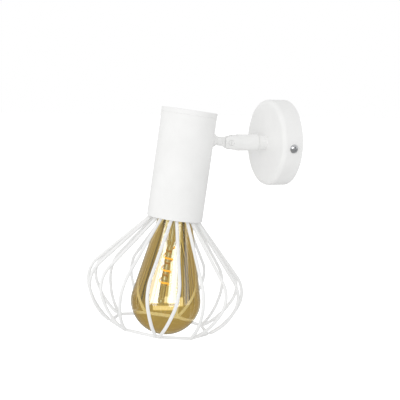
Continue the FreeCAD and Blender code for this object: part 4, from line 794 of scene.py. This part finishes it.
for number in range(PETALS):
    angle = FIRST_PETAL + number * 360 / PETALS
    grids = [(from_head(about_axis(loop_grid, angle)), False, True),
             (from_head(about_axis(bead, angle)), False, True)]
    grids += [(from_head(about_axis(fillet, angle)), False, True) for fillet in fillets]
    make_piece("cage_loop_%d" % (number + 1), grids, coat, "head",
               ["cage_petal_%d" % (number + 1)])

ring_angles = np.radians(FIRST_PETAL + np.arange(PETALS) * 360 / PETALS)
ring_corners = np.stack([corner_r * np.cos(ring_angles), corner_r * np.sin(ring_angles),
                         np.full(PETALS, ring_point[2])], axis=1)
ring_path = bent_path(ring_corners, [RING_BEND_R] * PETALS, True, RING_STEP)
ring_grid = wire_grid(ring_path, WIRE_R, AROUND_WIRE, True, STRAIGHT_UP)
make_piece("cage_foot_wire", [(from_head(ring_grid), True, True)],
           coat, "head", ["cage_foot_ring"])

# %% [markdown]
# ## The studio
# The wall light is shown on pure white. The world and the floor are white where
# the camera looks at them, and light the object at a plain level. In the amber glass the
# backdrop is dimmer and warmer than on the paper: rays that have passed through glass find
# a warm grey there, which is painted shade in the glass, and mirrored rays a lighter grey,
# which is a painted darker reflection in metal and glass. Each mix overrules the one before
# it, so the camera itself always sees plain white.

# %% World and floor
# MIRRORED, THROUGH_GLASS and FLOOR_MIRRORED dim the backdrop in mirrors and through glass: painted darker
# reflections and painted shade in the glass
WORLD_LIGHT = 0.85
MIRRORED = 0.8
THROUGH_GLASS = 0.43
THROUGH_COLOUR = "#FFF0BE"
FLOOR_MIRRORED = 0.4
FLOOR_LIFT = 0.15
PAPER_GLOW = 0.82


def backdrop(tree, lit, mirrored):
    """The backdrop's strength and colour: 1 and white to the camera, less in mirrors, warm through glass."""
    ray = add(tree, "ShaderNodeLightPath").outputs
    total = lit
    levels = (("Is Glossy Ray", mirrored), ("Is Transmission Ray", THROUGH_GLASS), ("Is Camera Ray", 1.0))
    for kind, level in levels:
        total = add(tree, "ShaderNodeMix", {"Factor": ray[kind], "A": total, "B": level},
                    data_type="FLOAT").outputs["Result"]
    hue = add(tree, "ShaderNodeMix", {
        "Factor": ray["Is Transmission Ray"], MIX_A: (1, 1, 1, 1), MIX_B: linear(THROUGH_COLOUR)},
        data_type="RGBA")
    return total, hue.outputs[MIX_RESULT], ray


world = bpy.data.worlds.new("studio")
bpy.context.scene.world = world
world.use_nodes = True
world.node_tree.nodes.clear()
strength, hue, ray = backdrop(world.node_tree, WORLD_LIGHT, MIRRORED)
sky = add(world.node_tree, "ShaderNodeBackground", {"Color": hue, "Strength": strength})
add(world.node_tree, "ShaderNodeOutputWorld", {"Surface": sky.outputs["Background"]})

FLOOR_Z = -0.235
FLOOR_HALF = 6.0
floor_mesh = bpy.data.meshes.new("studio_floor")
floor_corners = [(-FLOOR_HALF, -FLOOR_HALF, FLOOR_Z), (FLOOR_HALF, -FLOOR_HALF, FLOOR_Z),
                 (FLOOR_HALF, FLOOR_HALF, FLOOR_Z), (-FLOOR_HALF, FLOOR_HALF, FLOOR_Z)]
floor_mesh.from_pydata(floor_corners, [], [(0, 1, 2, 3)])
floor = bpy.data.objects.new("studio_floor", floor_mesh)
bpy.context.scene.collection.objects.link(floor)
paper, tree, surface, place = blank_material("white_paper_floor")
level, hue, ray = backdrop(tree, FLOOR_LIFT, FLOOR_MIRRORED)
shade = add(tree, "ShaderNodeBsdfDiffuse", {"Color": linear("#E6E6E6")})
lift = add(tree, "ShaderNodeMath", {0: level, 1: PAPER_GLOW}, operation="MULTIPLY")
glow_level = add(tree, "ShaderNodeEmission", {"Strength": lift.outputs["Value"]})
both = add(tree, "ShaderNodeAddShader", {0: shade.outputs["BSDF"], 1: glow_level.outputs["Emission"]})
only = add(tree, "ShaderNodeEmission", {"Color": hue, "Strength": level})
seen = add(tree, "ShaderNodeMath", {0: ray["Is Glossy Ray"], 1: ray["Is Transmission Ray"]},
           operation="MAXIMUM")
mixed = add(tree, "ShaderNodeMixShader", {
    0: seen.outputs["Value"], 1: both.outputs["Shader"], 2: only.outputs["Emission"]})
tree.links.new(mixed.outputs["Shader"], surface)
floor_mesh.materials.append(paper)
print("floor at", FLOOR_Z, "m; world light", WORLD_LIGHT)

# %% [markdown]
# ## Lamps
# A broad key lamp to the camera's left gives the paint its soft shading. Two soft boxes
# and a side panel show only in mirrors, and light linking keeps them to the bulb's two
# pieces of glass, so that they add a sheen there and leave the paint's level alone. One
# small lamp is linked to the canopy's side screws and gives the chrome its glint. The
# glass itself is hidden from diffuse rays, because the light that it bends would fall on
# the wires as coloured specks.

# %% Lamps
BULB_MIDDLE_H = -60.0
bulb_middle = mm(from_head([0, 0, BULB_MIDDLE_H]))


def lamp(name, azimuth, elevation, distance, width, height, power, diffuse, glossy):
    """An area lamp, never seen itself, at an angle from the camera's direction and aimed at the bulb."""
    data = bpy.data.lights.new(name, "AREA")
    data.shape = "RECTANGLE"
    data.size, data.size_y = width, height
    data.energy = power
    thing = bpy.data.objects.new(name, data)
    bpy.context.scene.collection.objects.link(thing)
    turned_round = radians(AZIMUTH + azimuth)
    e = radians(elevation)
    way_out = np.array([np.sin(turned_round) * np.cos(e), -np.cos(turned_round) * np.cos(e), np.sin(e)])
    thing.location = Vector(bulb_middle + distance * way_out)
    thing.rotation_mode = "QUATERNION"
    thing.rotation_quaternion = Vector(way_out).to_track_quat("Z", "Y")
    thing.visible_camera = False
    thing.visible_transmission = False
    thing.visible_diffuse = diffuse
    thing.visible_glossy = glossy
    return thing


# degrees round and up from the view, then distance, width and height in metres, then watts
lamp("key_lamp", -26, 15, 0.9, 0.8, 0.8, 1.9, True, False)
boxes = [lamp("left_soft_box", -43, 11, 1.2, 0.84, 0.83, 16.0, False, True),
         lamp("right_soft_box", 29, 11, 1.2, 0.77, 0.83, 15.0, False, True),
         lamp("side_panel", 76, 11, 1.2, 0.5, 0.83, 4.0, False, True)]
mirrors = bpy.data.collections.new("glass_pieces")
for name in ("bulb_envelope", "bulb_stem_glass"):
    mirrors.objects.link(bpy.data.objects[name])
    bpy.data.objects[name].visible_diffuse = False
for box in boxes:
    box.light_linking.receiver_collection = mirrors
screws = bpy.data.collections.new("chrome_screws")
screws.objects.link(frame["nodes"]["canopy_side_screws"])
glint = lamp("screw_glint", -15, 35, 0.8, 0.35, 0.35, 2.2, False, True)
glint.light_linking.receiver_collection = screws
print("lamps:", [light.name for light in bpy.data.lights])

# %% [markdown]
# ## Painted light and shade seen through the bulb
# Through the glass there is more than plain paper: upright streaks that run with the
# bulb's sides, dark edges, two tall white panes, a leaning dark line, and small bright
# window shapes and a grey strip at the foot of the panes. All of them are painted on a
# sheet behind the light. The panes are painted reflections of soft boxes, the window
# shapes and the strip are painted highlights, the streaks are painted light and shade,
# the edges and line are painted shade, and a painted shadow lies under the tube's mouth.
# Only rays that have passed through glass can see the sheet. Its brightness is a smooth
# function of m, the place across the bulb from -1 to 1, and of the place in the picture,
# in pixels of its 400, so the marks line up only from this camera.

# %% Painted light and shade behind the bulb
PICTURE_PX = 400.0
PICTURE_MIDDLE = PICTURE_PX / 2
FOCAL_PX = FOCAL_MM / SENSOR_MM * PICTURE_PX
SHEET_BEHIND = 0.17
# the bulb's middle and half width at five heights of the picture
BULB_ROWS_PX = (222.0, 237.0, 260.0, 284.0, 300.0)
BULB_MIDDLES_PX = (170.0, 169.6, 169.4, 167.2, 165.4)
BULB_HALF_WIDTHS_PX = (13.0, 17.5, 26.5, 32.3, 34.5)
# painted streaks of light and shade: share of the brightness, radians of the wave for a step of 1 in m,
# where it starts
STREAKS = ((0.34, 34, 1), (0.44, 59, 2), (0.10, 17, 0))
STREAKS_END_PX = 300.0
STREAKS_FADE_PX = 4.0
# dark edges, painted shade: m, width in m, darkness
PAINTED_DARK_EDGES = ((-0.97, 0.025, 0.2), (-0.86, 0.025, 0.2), (-0.745, 0.055, 0.38),
              (0.58, 0.10, 0.16), (0.94, 0.03, 0.2))
# the leaning dark line, painted shade: x at a height y, lean, half width, darkness
PAINTED_DARK_LINE_PX = (187.6, 233.0, 0.07, 1.7, 0.38)
# window shapes and strip, painted highlights: x, y, half width, half height, added brightness
PAINTED_WINDOWS_PX = ((162.2, 299.6, 9.0, 3.2, 1.0), (181.8, 302.0, 3.0, 4.8, 1.0),
              (164.2, 308.8, 12.5, 2.4, 0.9))
# the shadow of the tube's mouth: y, size, darkness
NECK_SHADOW_PX = (219.0, 6.0, 0.6)
# panes, painted reflections of soft boxes: m, half width in m
PAINTED_HIGHLIGHT_PANES = ((-0.37, 0.17), (0.25, 0.19))
PAINTED_PANES_END_PX = 303.5
PAINTED_HIGHLIGHT_LIFT = 2.1
DARKEST = 0.04
EDGE_SHARPNESS = 5


def pixel_points(x, y, depth):
    """The points, a depth away, that show at picture places x, y: eye + depth (right u + up v - back)."""
    u, v = (x - PICTURE_MIDDLE) / FOCAL_PX, (PICTURE_MIDDLE - y) / FOCAL_PX
    return EYE + depth * (u[..., None] * right + v[..., None] * up - back)


def soft_box(distance, half):
    """1 inside half, 0 outside, with an edge about a pixel wide: a logistic curve of the distance."""
    return 1 / (1 + np.exp((np.abs(distance) - half) * EDGE_SHARPNESS))


# %% The sheet's brightness
# the rows and columns of the picture that the sheet covers, and the size of its faces in pixels
SHEET_TOP, SHEET_FOOT, SHEET_LEFT, SHEET_RIGHT = 205, 350, 118, 216
ROW_STEP, COLUMN_STEP = 0.5, 0.25
y, x = np.mgrid[SHEET_TOP:SHEET_FOOT:ROW_STEP, SHEET_LEFT:SHEET_RIGHT:COLUMN_STEP]
middle = np.interp(y, BULB_ROWS_PX, BULB_MIDDLES_PX)
half_width = np.interp(y, BULB_ROWS_PX, BULB_HALF_WIDTHS_PX)
m = (x - middle) / half_width
upper_part = soft_box(np.clip(y - STREAKS_END_PX, 0, None) / STREAKS_FADE_PX, 1.0)
# painted streaks of light and shade, then a painted shadow under the tube's mouth
bright = 1 + upper_part * sum(part * np.sin(rate * m + start) for part, rate, start in STREAKS)
shadow_y, shadow_size, shadow_dark = NECK_SHADOW_PX
bright *= THROUGH_GLASS * (1 - shadow_dark * np.exp(-((y - shadow_y) / shadow_size) ** 2))
# painted shade: the dark edges and the leaning dark line
for edge, width, dark in PAINTED_DARK_EDGES:
    bright -= upper_part * dark * np.exp(-((m - edge) / width) ** 2)
line_x, line_y, line_lean, line_half, line_dark = PAINTED_DARK_LINE_PX
bright -= upper_part * line_dark * soft_box(x - line_x - line_lean * (y - line_y), line_half)
# painted highlights: the panes, painted reflections of soft boxes, then the window shapes and strip
above_end = soft_box(np.clip(y - PAINTED_PANES_END_PX + 1, 0, None), 1.0)
for pane, half in PAINTED_HIGHLIGHT_PANES:
    bright += PAINTED_HIGHLIGHT_LIFT * above_end * soft_box((m - pane) * half_width, half * half_width)
for window_x, window_y, half_x, half_y, added in PAINTED_WINDOWS_PX:
    bright += added * soft_box(x - window_x, half_x) * soft_box(y - window_y, half_y)
bright = np.clip(bright, DARKEST, None)
print("brightness from", round(float(bright.min()), 2), "to", round(float(bright.max()), 2))

# %% [markdown]
# The sheet's painted light and shade glow in the backdrop's warm colour where they are dim
# and in a bluer one where they are bright, because amber glass turns blue-white light back
# to white, so the painted highlights show white.

# %% The sheet and its glow
HUE_SHARE = 0.4
depth = float(np.linalg.norm(bulb_middle - EYE)) + SHEET_BEHIND
used, quads, triangles = grid_faces(pixel_points(x, y, depth), False, False)
# the sheet that carries the painted light and shade, seen only through glass
sheet_mesh = bpy.data.meshes.new("painted_light_and_shade_sheet")
sheet_mesh.from_pydata(used.tolist(), [], quads.tolist())
shade_values = sheet_mesh.attributes.new("brightness", "FLOAT", "POINT")
shade_values.data.foreach_set("value", bright.ravel().astype(np.float32))
sheet = bpy.data.objects.new("painted_light_and_shade_sheet", sheet_mesh)
bpy.context.scene.collection.objects.link(sheet)
sheet.visible_camera = False
sheet.visible_diffuse = False
sheet.visible_glossy = False
sheet.visible_shadow = False
behind, tree, surface, place = blank_material("painted_light_and_shade_through_glass")
value = add(tree, "ShaderNodeAttribute", attribute_name="brightness")
share = add(tree, "ShaderNodeMath", {0: value.outputs["Fac"], 1: HUE_SHARE}, operation="MULTIPLY")
hue = add(tree, "ShaderNodeValToRGB", {"Fac": share.outputs["Value"]})
hue.color_ramp.elements[0].position = 0.3
hue.color_ramp.elements[0].color = linear(THROUGH_COLOUR)
hue.color_ramp.elements[1].position = 0.9
hue.color_ramp.elements[1].color = linear("#AFC6FF")
shine = add(tree, "ShaderNodeEmission", {"Color": hue.outputs["Color"], "Strength": value.outputs["Fac"]})
tree.links.new(shine.outputs["Emission"], surface)
sheet_mesh.materials.append(behind)
print("sheet behind the bulb:", len(quads), "faces,", round(depth, 3), "m from the eye")

# %% View settings and the end
bpy.context.scene.view_settings.view_transform = "Standard"
